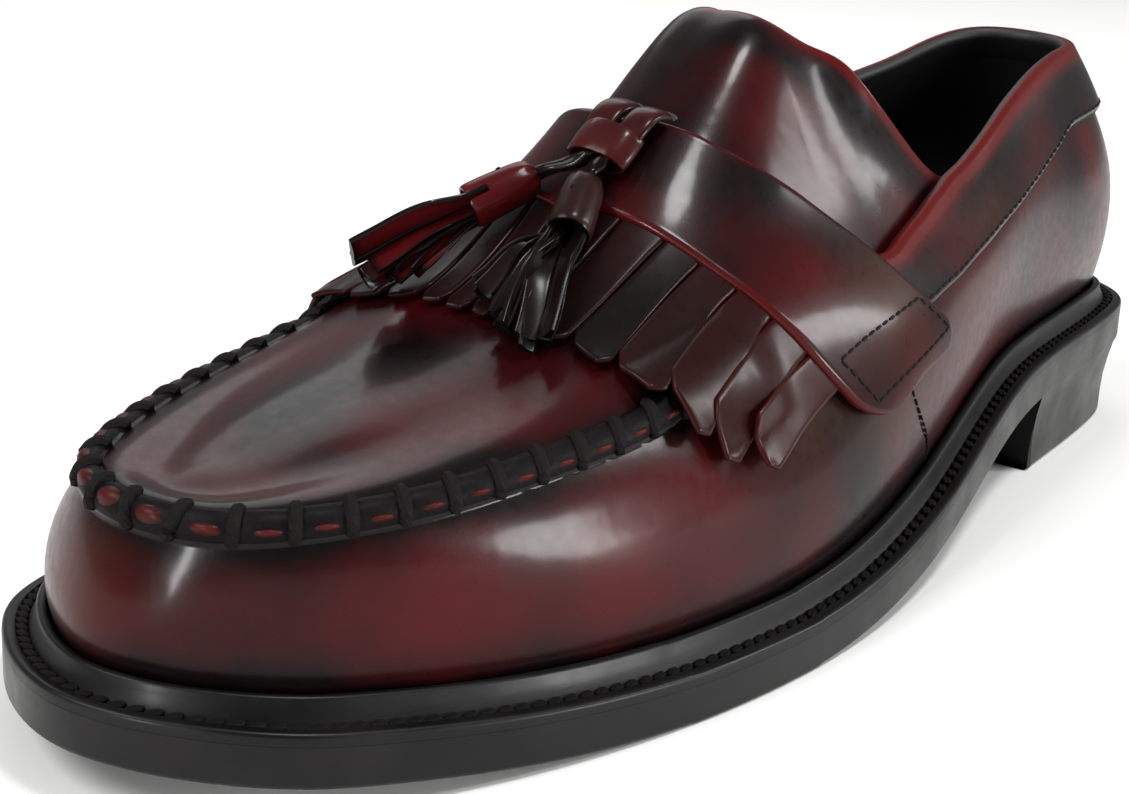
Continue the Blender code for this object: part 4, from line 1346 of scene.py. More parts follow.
@dataclass
class Upper(Part):
    """Vamp, apron and quarters in one wall with its lining, and the seams that are sewn into it."""

    leather: float = 0.0015
    wrap_pitch: float = 0.0080
    wrap_radius: float = 0.00115
    wrap_slant: float = 1.15 * MM
    dash_dome: float = 0.55 * MM
    dash_sink: float = 0.02 * MM
    columns: int = 440
    pinch: float = 0.20

    def build(self) -> None:
        """Makes the wall, the apron seam's rope and the side seams."""
        self.shell()
        self.wraps()
        self.red_dashes()
        self.side_seams()

    def burnish(self, t: Array, v: Array) -> Array:
        """How dark the polish is: heavy along the welt, beside the apron seam, under the strap and at the heel."""
        column = side_column(t)
        level = self.last.per_level(t, v)
        foot = bell(v * level / (7 * MM))
        seam = bell((v - SEAM_LEVEL) * level / (5.5 * MM)) * smooth((column - 9) / 0.8)
        strap = bell((column - softened(v, STRAP_FRONT["v"], STRAP_FRONT["t"], 0.04)) * 0.019 / (8 * MM))
        crest = smooth((v - 0.5) / 0.4) * smooth((column - 10) / 1.5) * 0.35
        heel = bell(column / 2.2) * 0.35
        toe = bell((column - TOE) / 2.0) * smooth((SEAM_LEVEL - v) / 0.2) * 0.15
        glow = 0.32 * bell((v - 0.21) / 0.10) * smooth((column - 10) / 2)
        return np.clip(0.75 * foot + 0.75 * seam + 0.6 * strap + crest + heel + toe, 0, 1) - glow

    def relief(self, t: Array, v: Array) -> Array:
        """Soft creases, their depth in millimetres: troughs where the vamp bends and behind the strap's end."""
        troughs = [
            Spot(10.6, 0.22, 16, 5, 0.35),
            Spot(11.6, 0.30, 12, 4, 0.25),
            Spot(7.0, 0.18, 14, 6, 0.30),
            Spot(4.2, 0.30, 15, 6, 0.25),
            Spot(21.2, 0.26, 14, 5, 0.30),
        ]
        total = np.zeros(t.shape)
        for trough in troughs:
            total += trough.strength * MM * spotted(self.last, [replace(trough, strength=1.0)], t, v)
        return -total

    def levels(self, t: Array) -> Array:
        """Levels of the wall's rows, close together over the ridge, up to its free edge."""
        half = self.last.seam_width / 2 / self.last.per_level(t, SEAM_LEVEL)
        low = np.linspace(0, 1, 25)[:-1, None] * (SEAM_LEVEL - 1.3 * half)
        over = SEAM_LEVEL + np.linspace(-1.3, 1.3, 17)[:, None] * half
        top = self.last.quarter_edge(t)
        start = over[-1]
        high = start + np.linspace(0, 1, 31)[1:, None] * (top - start)
        return np.concatenate([low, over, high])

    def shell(self) -> None:
        """The wall: leather outside with the raised seam, lining inside, open at collar and throat."""
        corners = np.array([5.05, 5.15, 9.6, 10.0])
        t = np.linspace(0, 2 * TOE, self.columns + 1)
        t = np.unique(np.round(np.concatenate([t, corners, 2 * TOE - corners]), 6))
        v = self.levels(t)
        t = np.broadcast_to(t, v.shape)
        skin, out = self.last.point(t, v), self.last.normal(t, v)
        # The two sides share one direction where they meet on the crest
        crest = np.abs(t[-1] - TOE) <= TOE - THROAT_FRONT
        out[-1, crest] = (out[-1, crest] + out[-1, crest][::-1]) / 2
        ridge = self.last.seam_ridge(t, v, self.last.seam_width)
        # The root of the parabola is a half circle, which each wrap pinches
        ridge = self.last.seam_height * np.sqrt(np.clip(ridge / self.last.seam_height, 0, 1)) * self.pinched(t)
        away = (v - SEAM_LEVEL) * self.last.per_level(t, SEAM_LEVEL) / (self.last.seam_width / 2)
        rope = smooth((1.06 - np.abs(away)) / 0.2) * (ridge > 0)
        outer = skin + (ridge + self.relief(t, v))[..., None] * out
        inner = skin - self.leather * out
        foot, foot_in = outer[:1].copy(), outer[:1] - self.leather * self.last.outward(t[0])
        for row in (foot, foot_in):
            row[..., 2] = self.last.sole_bottom(self.last.feather(t[0])[:, 1]) + self.last.upper_foot
        marks = {
            Mark.BURNISH_AND_SHADE: self.burnish(t, v) + 2 * rope,
            Mark.BROWN: spotted(self.last, self.brown_spots(), t, v) * (1 - rope),
            Mark.GLEAM: spotted(self.last, self.gleam_spots(), t, v) * (1 - rope),
        }
        marks = {mark: np.concatenate([values[:1], values]) for mark, values in marks.items()}
        form = wall(np.concatenate([foot, outer]), np.concatenate([foot_in, inner]), marks, (0, 1))
        cells = np.concatenate([rope[:1], rope])
        corners = (cells[1:, 1:] + cells[:-1, 1:] + cells[1:, :-1] + cells[:-1, :-1]) / 4
        form.finish[: corners.size][corners.reshape(-1) > 0.5] = 2
        materials = [self.shelf.upper, self.shelf.lining, self.shelf.rope]
        self.bench.piece("polished_upper", form, materials, Place.UPPER, ("upper",))

    def brown_spots(self) -> list[Spot]:
        """Where the polish is rubbed through to brown."""
        return [
            Spot(7.9, 0.26, 14, 7, 0.8),
            Spot(9.6, 0.30, 12, 6, 0.5),
            Spot(5.6, 0.40, 12, 8, 0.7),
            Spot(16.2, 0.24, 8, 10, 0.6),
            Spot(2.0, 0.42, 5, 12, 0.6),
            Spot(18.0, 0.24, 14, 8, 0.5),
            Spot(23.5, 0.28, 16, 7, 0.6),
        ]

    def gleam_spots(self) -> list[Spot]:
        """Where the red shows brightest."""
        return [
            Spot(12.6, 0.78, 16, 5, 0.30),
            Spot(14.3, 0.80, 7, 6, 0.25),
            Spot(12.8, 0.20, 20, 7, 0.30),
            Spot(10.6, 0.26, 14, 7, 0.25),
            Spot(2.3, 0.50, 4, 10, 0.5),
            Spot(19.0, 0.22, 20, 7, 0.30),
        ]

    def seam_places(self) -> Array:
        """Columns of the rope's wraps, at even steps along the apron seam."""
        fine = np.linspace(9.9, 2 * TOE - 9.9, 2001)
        run = self.last.point(fine, SEAM_LEVEL)
        distance = run_along(run)
        count = int(distance[-1] / self.wrap_pitch)
        return np.interp(np.arange(count + 1) * distance[-1] / count, distance, fine)

    def pinched(self, t: Array) -> Array:
        """The rope's height as a share of its own: each wrap pulls it down."""
        places = self.seam_places()
        phase = np.interp(np.mod(t, 2 * TOE), places, np.arange(len(places)))
        return 1 - self.pinch * (0.5 + 0.5 * np.cos(2 * math.pi * phase)) ** 2

    def over_ridge(self, t: Array, across: Array, lift: float) -> Array:
        """Points over the rope: across runs from -1 at its foot by the wall to 1 at its foot on the apron."""
        half = self.last.seam_width / 2 / self.last.per_level(t, SEAM_LEVEL)
        v = SEAM_LEVEL + across * half
        crown = self.last.seam_height * np.sqrt(np.clip(1 - across * across, 0, 1)) * self.pinched(t)
        return self.last.lifted(t, v, crown + lift)

    def wraps(self) -> None:
        """Thick thread that crosses the rope at each hole, and dips into the leather on both sides."""
        places = self.seam_places()[1:-1, None]
        across = np.linspace(-1.12, 1.12, 13)[None]
        slant = self.wrap_slant / self.last.per_column(places, SEAM_LEVEL)
        slant = slant * np.sign(places - TOE)
        t = places + slant * across
        across = np.broadcast_to(across, t.shape)
        dip = np.where(np.abs(across) > 1, -0.6 * self.wrap_radius, 0.0)
        paths = self.over_ridge(t, across, dip)
        form = tubes(paths, self.wrap_radius)
        self.bench.piece("seam_wraps", form, [self.shelf.thread], Place.UPPER)

    def red_dashes(self) -> None:
        """Red leather that shows between the wraps: small ovals on the rope's outer face, larger on its crown at
        the toe and the inner side."""
        places = self.seam_places()
        middle = (places[1:] + places[:-1]) / 2
        crown = smooth((middle - 14.4) / 2.2)
        along = (1.9 + 0.8 * crown) * MM / self.last.per_column(middle, SEAM_LEVEL)
        centre = -0.55 + 0.50 * crown
        wide = 0.17 + 0.40 * crown
        # Each is a closed lens: out from its middle over the upper face and back in under the lower one
        radius = np.concatenate([np.linspace(0, 1, 5), np.linspace(1, 0, 5)[1:]])[:, None]
        rings, sides = len(radius), 14
        face = np.where(np.arange(rings) < 5, 1.0, -1.0)[:, None]
        angle = full_turn(sides)
        x, y = radius * np.cos(angle), radius * np.sin(angle)
        t = middle[:, None, None] + along[:, None, None] * x
        across = centre[:, None, None] + wide[:, None, None] * y
        dome = self.dash_dome * face * (1 - radius**2) - self.dash_sink
        points = self.over_ridge(t, across, np.broadcast_to(dome * np.ones(sides), t.shape))
        faces = copied(grid_faces(rings, sides, ring=True), rings * sides, len(middle))
        gleam = np.broadcast_to(0.35 - 0.25 * crown[:, None, None], t.shape)
        marks = {Mark.GLEAM: gleam, Mark.BURNISH_AND_SHADE: 0.9 * (radius**4) * np.ones(t.shape)}
        form = form_of(points, faces, marks=marks)
        self.bench.piece("seam_red_leather", form, [self.shelf.gap_leather], Place.RED)

    def side_seams(self) -> None:
        """The seam from the strap's sewn end down to the welt on each side, as a fine row of stitches."""
        forms = []
        v = np.linspace(0.335, 0.03, 200)
        outer = 7.75 - 1.15 * smooth((0.335 - v) / 0.32)
        for t in (outer, 2 * TOE - outer):
            forms.append(stitched(self.last, t, v, 0.0, 0.0022, (0.0018, 0.00055, 0.0005)))
        self.bench.piece("side_seam_stitches", joined(forms), [self.shelf.thread], Place.UPPER)


def stitched(last: Last, t: Array, v: Array, lift: float, pitch: float, size: tuple, turn: float = 0.0) -> Form:
    """A row of stitches at even steps along a line on the last."""
    run = last.lifted(t, v, lift)
    distance = run_along(run)
    count = max(2, int(distance[-1] / pitch))
    where = (np.arange(count) + 0.5) * distance[-1] / count
    at = np.interp(where, distance, np.arange(len(t)))
    t_at, v_at = np.interp(at, np.arange(len(t)), t), np.interp(at, np.arange(len(t)), v)
    centres = last.lifted(t_at, v_at, lift)
    up = last.normal(t_at, v_at)
    ahead = np.stack([np.interp(where + pitch / 4, distance, run[:, k]) for k in range(3)], axis=-1)
    ahead = ahead - np.stack([np.interp(where - pitch / 4, distance, run[:, k]) for k in range(3)], axis=-1)
    ahead = to_unit(ahead - (ahead * up).sum(axis=1, keepdims=True) * up)
    return beads(centres, ahead, up, size, turn)


@dataclass
class Tongue(Part):
    """The tongue under throat and strap, with a painted back edge."""

    leather: float = 0.0015
    thickness: float = 0.0020

    def build(self) -> None:
        """Makes the tongue as one sheet from edge to edge over the crest."""
        side = np.unique(np.concatenate([5.05 + 2.95 * crowded(70)[:58], np.linspace(7.6, 9.9, 46)]))
        under = np.where(side <= TONGUE_TOP, np.clip(self.last.quarter_edge(side), 0, 1), 0.5) - 0.13
        v = under + crowded(44)[:, None] * (1 - under)
        t = np.broadcast_to(side, v.shape)
        t, v = np.concatenate([t, 2 * TOE - t[:, ::-1]], axis=1), np.concatenate([v, v[:, ::-1]], axis=1)
        keep = np.ones((len(v) - 1, v.shape[1] - 1), bool)
        keep[:, len(side) - 1] = False
        up = self.last.normal(t, v)
        middle = self.last.point(t, v) - (self.leather + LAY + GAP + self.thickness / 2) * up
        away = self.from_back_edge(middle, side)
        marks = {
            Mark.EDGE: 0.8 * (1 - smooth((away - 1.4 * MM) / (1.8 * MM))),
            Mark.BURNISH_AND_SHADE: 0.35 * smooth((v - 0.7) / 0.3) + 0.5 * bell((away - 7 * MM) / (3.5 * MM)),
        }
        form = slab(middle, up, self.thickness, away / (self.thickness * 0.5), marks, keep)
        self.bench.piece("polished_tongue", form, [self.shelf.upper], Place.UPPER, ("tongue",))

    def from_back_edge(self, middle: Array, side: Array) -> Array:
        """Distance of every point from the tongue's free back edge on either side."""
        before_top = side <= TONGUE_TOP
        free = middle[-1, np.concatenate([before_top, before_top[::-1]])]
        flat = middle.reshape(-1, 3)
        near = np.full(len(flat), np.inf)
        for point in free:
            near = np.minimum(near, np.linalg.norm(flat - point, axis=1))
        return near.reshape(middle.shape[:2])


@dataclass
class CollarBand(Part):
    """The band sewn round the collar, folded over the topline, with a painted roll, and the strip at the heel."""

    thickness: float = 0.0012
    front_top: float = 7.75
    front_low: float = 7.05
    turn_in: float = 0.006
    rows: int = 24
    skived: float = 1.6 * MM
    edge_front: float = 0.15 * MM
    edge_back: float = 0.05 * MM
    inner_ease: float = 0.3 * MM
    inner_back: float = 0.0014
    # Where the finishes change: from the lower edge, and beyond the topline
    matt_to: float = 1.5 * MM
    painted_from: float = -2.0 * MM
    lined_from: float = 2.8 * MM
    stitch_inset: float = 1.8 * MM
    stitch_pitch: float = 0.0030
    stitch_size: tuple = (0.0023, 0.0007, 0.0005)
    strip_foot: float = 0.0041
    strip_top: float = 0.618
    strip_half_foot: float = 0.0140
    strip_half_top: float = 0.0065
    strip_thickness: float = 0.0010

    def build(self) -> None:
        """Makes the band, its stitches and the heel strip."""
        self.band()
        self.heel_strip()

    def band_lines(self) -> tuple[Array, Array, Array, Array]:
        """Columns and levels of the band's lower and upper edges, from end to end round the heel."""
        share = np.linspace(-1, 1, 281)
        low, high = share * self.front_low, share * self.front_top
        v_low = softened(np.abs(low), BAND_EDGE["t"], BAND_EDGE["v"], 0.15)
        v_high = softened(np.abs(high), self.last.quarter_rows["t"], self.last.quarter_rows["v"], 0.18)
        return low, v_low, high, v_high

    def band(self) -> None:
        """The band: up the outside, over the topline in half a circle, and a little way down inside."""
        low, v_low, high, v_high = self.band_lines()
        share = crowded(self.rows)[:, None]
        t, v = low + share * (high - low), v_low + share * (v_high - v_low)
        radius = LAY + self.thickness
        up = self.last.normal(t, v)
        skin = self.last.point(t, v)
        # The lower edge is skived: it comes down to the upper in an eased slope
        climb = np.linalg.norm(skin - skin[:1], axis=-1)
        ease = 1 - (1 - np.clip(climb / self.skived, 0, 1)) ** 2
        outside = skin + (self.edge_front + (radius - self.edge_front) * ease)[..., None] * up
        back = skin + (self.edge_back + (LAY - self.edge_back) * ease)[..., None] * up
        top, out = skin[-1], up[-1]
        rise = top - self.last.point(high, v_high - 0.01)
        rise = to_unit(rise - (rise * out).sum(axis=1, keepdims=True) * out)
        turn = np.linspace(0, math.pi, 13)[1:, None, None]
        around = np.cos(turn) * out + np.sin(turn) * rise
        share_in = np.linspace(0, 1, 7)[1:, None, None]
        down = top - self.turn_in * share_in * rise
        inside = down - (radius - self.inner_ease * share_in**4) * out
        inside_back = down - self.inner_back * out
        outer = np.concatenate([outside, top + radius * around, inside])
        inner = np.concatenate([back, top + LAY * around, inside_back])
        run = np.zeros(outer.shape[:2])
        run[1:] = np.cumsum(np.linalg.norm(np.diff(outer, axis=0), axis=-1), axis=0)
        past = run - run[self.rows - 1 : self.rows]
        form = wall(outer, inner, self.band_marks(run, past, np.abs(high)), (0, 3))
        middle = (run[1:, 1:] + run[:-1, :-1]) / 2
        beyond = (past[1:, 1:] + past[:-1, :-1]) / 2
        zones = [middle < self.matt_to, beyond > self.lined_from, beyond > self.painted_from]
        kind = np.select(zones, [1, 3, 2], 0)
        form.finish[: kind.size] = kind.reshape(-1)
        materials = [self.shelf.upper, self.shelf.rope, self.shelf.painted, self.shelf.lining]
        self.bench.piece("collar_binding", form, materials, Place.UPPER, ("collar_band",))
        v_row = v_low + self.stitch_inset / self.last.per_level(low, v_low)
        row = stitched(self.last, low, v_row, radius, self.stitch_pitch, self.stitch_size)
        self.bench.piece("collar_stitches", row, [self.shelf.thread], Place.UPPER)

    def band_marks(self, run: Array, past: Array, column: Array) -> dict:
        """Marks on the band: red paint round the topline that fades at the heel, black inside, brown on the side.

        Args:
            run: the distance of each point from the band's lower edge.
            past: its distance beyond the topline, less than 0 before it.
            column: the column of each of its rows' points, counted from the heel.

        Returns:
            The marks by name.
        """
        inside = smooth((past - 2.2 * MM) / (1.2 * MM))
        red = smooth((past + 4.6 * MM) / (4.0 * MM)) * (1 - inside)
        return {
            Mark.EDGE: 0.72 * red * (1 - 0.6 * smooth((1.6 - column) / 1.2)),
            Mark.BURNISH_AND_SHADE: 0.55 * bell(run / (3 * MM)) + 0.30 + 2 * inside,
            Mark.BROWN: 0.6 * bell((column - 5.6) / 0.9) * bell((run - 6 * MM) / (6 * MM)),
        }

    def heel_strip(self) -> None:
        """The strip over the heel's back seam, wider at its foot, from the bead up to the band."""
        foot = float(self.last.level_at(np.array([0.0]), self.strip_foot)[0])
        levels = foot + crowded(40)[:, None] * (self.strip_top - foot)
        share = (levels - foot) / (levels[-1] - foot)
        half = self.strip_half_foot + (self.strip_half_top - self.strip_half_foot) * smooth(share)
        around = np.linalg.norm(self.last.point(0.1, levels) - self.last.point(-0.1, levels), axis=-1) / 0.2
        t = half / around * (2 * crowded(26) - 1)
        v = np.broadcast_to(levels, t.shape)
        sheet = Sheet(self.last, self.strip_thickness, red=0.4 * MM)
        form = sheet.form(t, v, marks={Mark.BURNISH_AND_SHADE: np.full(t.shape, 0.6)})
        form.marks[Mark.EDGE] *= 0.25
        self.bench.piece("heel_strip", form, [self.shelf.rope], Place.DARK, ("back_strip",))
        side = t[:, -1] - 1.5 * MM / around[:, 0]
        size = (0.002, 0.0006, 0.0005)
        rows = [
            stitched(self.last, way * side, levels[:, 0], LAY + self.strip_thickness, 0.0026, size)
            for way in (-1, 1)
        ]
        self.bench.piece("heel_strip_stitches", joined(rows), [self.shelf.thread], Place.DARK)


@dataclass
class Strap(Part):
    """The saddle strap over the instep, sewn down at both ends, its edges painted red."""

    thickness: float = 0.0022
    corner: float = 0.007
    # The stitched box: heights above the sewn end, and shares from the back edge to the front one
    box_levels: tuple = (0.028, 0.098)
    box_shares: tuple = (0.08, 0.90)
    # The pitch of its stitches and their length, width and height
    stitch: tuple = (0.0024, (0.0021, 0.0007, 0.0006))

    def grid(self, rows: int, across: int) -> tuple[Array, Array]:
        """Columns and levels from the outer end over the crest to the inner one, with rounded corners."""
        up = crowded(2 * rows - 1)[:rows, None] * 2
        over = crowded(across)
        v_back = STRAP_BACK["v"][0] + up * (1 - STRAP_BACK["v"][0])
        v_front = STRAP_FRONT["v"][0] + up * (1 - STRAP_FRONT["v"][0])
        t_back = softened(v_back, STRAP_BACK["v"], STRAP_BACK["t"], 0.03)
        t_front = softened(v_front, STRAP_FRONT["v"], STRAP_FRONT["t"], 0.03)
        middle = self.last.point((t_back + t_front) / 2, (v_back + v_front) / 2)[:, 0]
        run = run_along(middle)[:, None]
        width = np.linalg.norm(self.last.point(t_back, v_back) - self.last.point(t_front, v_front), axis=-1)
        short = np.clip(self.corner - run, 0, None)
        inset = (self.corner - np.sqrt(self.corner**2 - short**2)) / width
        share = inset + over * (1 - 2 * inset)
        t = t_back + share * (t_front - t_back)
        v = v_back + share * (v_front - v_back)
        return np.concatenate([t, 2 * TOE - t[-2::-1]]), np.concatenate([v, v[-2::-1]])

    def build(self) -> None:
        """Makes the strap and the stitched box at each end."""
        t, v = self.grid(96, 40)
        ends = [Spot(column, 0.43, 12, 11, 0.75) for column in (8.0, 24.0)]
        marks = {
            Mark.BURNISH_AND_SHADE: 0.35 * bell((v - 0.62) / 0.12) + 0.25 * smooth((v - 0.8) / 0.2),
            Mark.BROWN: spotted(self.last, ends, t, v),
            Mark.GLEAM: spotted(self.last, [Spot(8.9, 0.52, 8, 5, 0.35)], t, v),
        }
        form = Sheet(self.last, self.thickness, red=0.8 * MM).form(t, v, marks=marks)
        form.marks[Mark.EDGE] *= 0.75
        self.bench.piece("saddle_strap", form, [self.shelf.strap], Place.UPPER, ("saddle",))
        self.stitch_box()

    def across_end(self, share: Array, height: Array) -> tuple[Array, Array]:
        """Columns and levels across the sewn end: share from back to front edge, height above the end."""
        v_back = STRAP_BACK["v"][0] + height
        v_front = STRAP_FRONT["v"][0] + height
        t_back = np.interp(v_back, STRAP_BACK["v"], STRAP_BACK["t"])
        t_front = np.interp(v_front, STRAP_FRONT["v"], STRAP_FRONT["t"])
        return t_back + share * (t_front - t_back), v_back + share * (v_front - v_back)

    def stitch_box(self) -> None:
        """A long narrow box of stitches across each sewn end."""
        forms = []
        low, high = self.box_levels
        back, front = self.box_shares
        even = np.linspace(0, 1, 120)
        over, up = back + even * (front - back), low + even * (high - low)
        sides = (
            (over, np.full_like(even, low)),
            (over, np.full_like(even, high)),
            (np.full_like(even, back), up),
            (np.full_like(even, front), up),
        )
        for share, height in sides:
            t, v = self.across_end(share, height)
            for columns in (t, 2 * TOE - t):
                forms.append(stitched(self.last, columns, v, LAY + self.thickness, *self.stitch))
        self.bench.piece("strap_stitches", joined(forms), [self.shelf.thread], Place.UPPER)


# Past this share of a strip its slit is open
ROOT_END = 0.05


@dataclass
class Kiltie(Part):
    """The fringe before the strap: strips cut from one piece, each with a three-sided tip."""

    thickness: float = 0.0012
    slit: float = 0.0003
    tip_share: float = 0.19
    reaches: tuple = (11.40, 11.32, 11.20, 11.11, 11.00, 10.82, 10.60, 10.25)
    roots: tuple = (1.000, 0.914, 0.828, 0.722, 0.633, 0.535, 0.450, 0.378, 0.320)
    tips: tuple = (1.000, 0.914, 0.828, 0.683, 0.555, 0.459, 0.392, 0.351, 0.284)
    widened: tuple = (0.0, 0.0, 0.006, 0.016, 0.030, 0.046, 0.052, 0.012)

    def strip(self, number: int, inner_side: bool) -> Form:
        """One strip: its sides run straight from root to tip, then close in to the tip's short end.

        Args:
            number: 0 next to the crest, 7 the last one out.
            inner_side: whether it lies on the inner side of the foot.

        Returns:
            The strip as a thin sheet.
        """
        share = np.concatenate([np.linspace(-0.12, 0.84, 26), 0.84 + 0.16 * crowded(12)[1:]])[:, None]
        over = crowded(15)
        edge = [
            softened(np.array([root]), STRAP_FRONT["v"], STRAP_FRONT["t"], 0.02)[0] + 0.035
            for root in self.roots[number : number + 2]
        ]
        root_t = edge[0] + over * (edge[1] - edge[0])
        root_v = self.roots[number] + over * (self.roots[number + 1] - self.roots[number])
        tip_v = self.tips[number] + over * (self.tips[number + 1] - self.widened[number] - self.tips[number])
        t = root_t + share * (self.reaches[number] - root_t)
        v = root_v + share * (tip_v - root_v)
        wide = np.abs(v[:, -1:] - v[:, :1])
        slit = self.slit / 2 / self.last.per_level(t[:, :1], np.clip(v[:, :1], 0.2, 1))
        close = self.tip_share * np.clip((share - 0.915) / 0.085, 0, 1) * smooth((share + 0.05) / 0.02)
        inset = np.where(share > ROOT_END, slit / wide, slit / wide * 0.35) + close
        v = v[:, :1] + (v[:, -1:] - v[:, :1]) * (inset + over * (1 - 2 * inset))
        curl = self.curl(number, share, over)
        t = 2 * TOE - t if inner_side else t
        rise = self.last.seam_ridge(t, v, 4 * self.last.seam_width) + curl
        shade = np.full(t.shape, 0.12 * math.sin(2.4 * number) + 0.1)
        form = Sheet(self.last, self.thickness, red=0.35 * MM).form(t, v, rise, {Mark.BURNISH_AND_SHADE: shade})
        bright = (number - 3) / 5 if number > 3 else 0.0
        form.marks[Mark.EDGE] *= 0.10 + 0.35 * bright
        form.marks[Mark.GLEAM] = np.full(len(form.points), 0.35 * bright)
        return form

    def curl(self, number: int, share: Array, over: Array) -> Array:
        """How far a strip lifts towards its tip, a little more for the outer ones, which also cup."""
        lift = (0.20 + 0.16 * max(number - 2, 0)) * MM + max(number - 6, 0) * 0.9 * MM
        cup = 0.25 * MM * (2 * over - 1) ** 2 * (1 + max(number - 5, 0))
        return smooth(share) ** 2 * (lift + cup)

    def build(self) -> None:
        """Makes all sixteen strips as one piece."""
        numbers = range(len(self.reaches))
        forms = [self.strip(number, inner_side) for inner_side in (False, True) for number in numbers]
        self.bench.piece("fringe", joined(forms), [self.shelf.kiltie], Place.DARK, ("kiltie",))


# The wrap's section, out over its length and back through its hollow: place and size as shares
WRAP_SECTION = table(
    "along size",
    """
-0.50 0.86   -0.49 0.92   -0.42 0.97   -0.22 0.99   0.00 1.00    0.22 0.99    0.42 0.97    0.49 0.93
 0.50 0.88    0.49 0.80    0.42 0.76    0.20 0.72   0.00 0.70   -0.20 0.72   -0.42 0.76   -0.49 0.80
""",
)
# The cap's section from its top over the mouth and back inside: place and size as shares
CAP_SECTION = table(
    "along size",
    """
-0.05 0.10   -0.03 0.45    0.00 0.62    0.06 0.76   0.14 0.86    0.30 0.93    0.50 0.96
 0.70 0.99    0.88 1.00    0.97 0.98    1.00 0.93   0.995 0.82   0.95 0.76    0.80 0.70
""",
)


@dataclass
class Knot(Part):
    """Two flat thongs out of slots in the strap, the wrap that gathers them, and a cord to each tassel."""

    column: float = 9.74
    level: float = 0.940
    strap_thickness: float = 0.0022
    wrap_width: float = 0.0124
    wrap_height: float = 0.0066
    wrap_length: float = 0.0070
    thong_width: float = 0.0062
    thong_thickness: float = 0.0020
    thong_body: float = 0.0018
    cord_radius: float = 0.0013
    # The thong's arch from its slot to the wrap: ahead of the wrap's middle and above the thong's seat
    arch: tuple = ((-0.0112, -0.0010), (-0.0085, 0.0018), (-0.0045, 0.0026), (0.0, 0.0020))
    section: dict = field(default_factory=lambda: WRAP_SECTION)

    def axes(self) -> Axes:
        """Centre of the wrap on the strap, and its directions."""
        top = LAY + self.strap_thickness
        column, level = np.array([self.column]), np.array([self.level])
        centre = self.last.lifted(column, level, np.array([top + GAP + self.wrap_height / 2]))[0]
        up = self.last.normal(column, level)[0]
        ahead = (self.last.lifted(column + 0.2, level, top) - self.last.lifted(column - 0.2, level, top))[0]
        ahead /= np.linalg.norm(ahead)
        across = np.cross(up, ahead)
        return Axes(centre, ahead, across, np.cross(ahead, across))

    def build(self, ends: list[tuple[Array, Array]]) -> None:
        """Makes the knot, with a cord to the top of each tassel.

        Args:
            ends: where the near and the far cord end, with the direction they come in.
        """
        axes = self.axes()
        forms = [self.wrap(axes), self.thong(axes, 1), self.thong(axes, -1)]
        for side, (end, way) in zip((1, -1), ends):
            start = axes.centre + 1.3 * side * self.cord_radius * axes.across
            start = start - 0.1 * self.wrap_length * axes.ahead
            out = start + 0.4 * self.wrap_length * axes.ahead
            forms.append(self.cord(curve([start, out, end - 0.5 * self.cord_radius * way, end], 14)))
        finishes_used = [self.shelf.knot, self.shelf.thread]
        self.bench.piece("tied_knot", joined(forms), finishes_used, Place.TASSEL, ("knot",))
        # Painted shade: black pods stand for the dark inside the slots
        self.bench.piece("strap_slot_shade", self.slots(axes), [self.shelf.lining], Place.LINING)

    def wrap(self, axes: Axes) -> Form:
        """A hollow band round the thongs: an oval section, wider in the middle, with a lap seam, its hollow painted
        near black as shade.
        """
        along, size = self.section["along"][:, None], self.section["size"][:, None]
        angle = full_turn(48)
        seam = bell((np.mod(angle - 1.2, 2 * math.pi) - 0.12) / 0.10)
        fold = 1 + 0.018 * np.cos(6 * angle + 0.6) - 0.05 * seam
        x = size * fold * np.cos(angle) * self.wrap_width / 2
        y = size * fold * np.sin(angle) * self.wrap_height / 2
        points = axes.at(along * self.wrap_length, x, y)
        points = np.concatenate([points, points[:1]])
        # Painted shade: the rows inside the hollow are darkened to near black
        inside = np.append(size < 0.83, False)
        burnish = np.where(inside, 1.6, 0.0)[:, None] * np.ones(len(angle))
        faces = grid_faces(len(points), len(angle), ring=True)
        return form_of(points, faces, marks={Mark.BURNISH_AND_SHADE: burnish})

    def thong(self, axes: Axes, side: int) -> Form:
        """A flat thong that comes up out of the strap, arches and goes under the wrap."""
        offset = side * (self.thong_width / 2 + GAP / 2) * axes.across
        seat = axes.centre - axes.up * (self.wrap_height / 2 - self.thong_thickness / 2 - GAP) + offset
        stations = [seat + ahead * axes.ahead + up * axes.up for ahead, up in self.arch]
        stations[-1] = stations[-1] - 0.3 * offset
        wide = 0.92 * self.thong_width
        return bar(curve(stations, 20), wide, self.thong_body, axes.across, power=3.2, bow=0.05)

    def cord(self, path: Array) -> Form:
        """A round leather cord with two turned plies: its radius swells twice a turn as the plies wind."""
        ahead = to_unit(np.gradient(path, axis=0))
        side = to_unit(np.cross(ahead, np.array([0.3, 0.1, 0.95])))
        up = np.cross(side, ahead)
        angle = full_turn(16)
        turn = np.linspace(0, 9, len(path))[:, None]
        radius = self.cord_radius * (1 + 0.16 * np.cos(2 * angle + turn))
        points = path[:, None] + (radius * np.cos(angle))[..., None] * side[:, None]
        points = points + (radius * np.sin(angle))[..., None] * up[:, None]
        ends = np.broadcast_to(path[[0, -1], None, None], (2, 1, len(angle), 3))
        points = np.concatenate([ends[0], points, ends[1]])
        faces = grid_faces(len(points), len(angle), ring=True)
        return form_of(points, faces, marks={Mark.BURNISH_AND_SHADE: np.full(points.shape[:2], 0.9)})

    def slots(self, axes: Axes) -> Form:
        """Black pods over the openings that the thongs come out of, painted shade for the dark inside them."""
        low = axes.centre - axes.up * (self.wrap_height / 2 + GAP) - 0.0120 * axes.ahead
        middles = np.array([low + side * (self.thong_width / 2 + GAP) * axes.across for side in (1, -1)])
        return beads(middles, np.tile(axes.across, (2, 1)), np.tile(axes.up, (2, 1)), (0.0066, 0.0018, 0.0009))


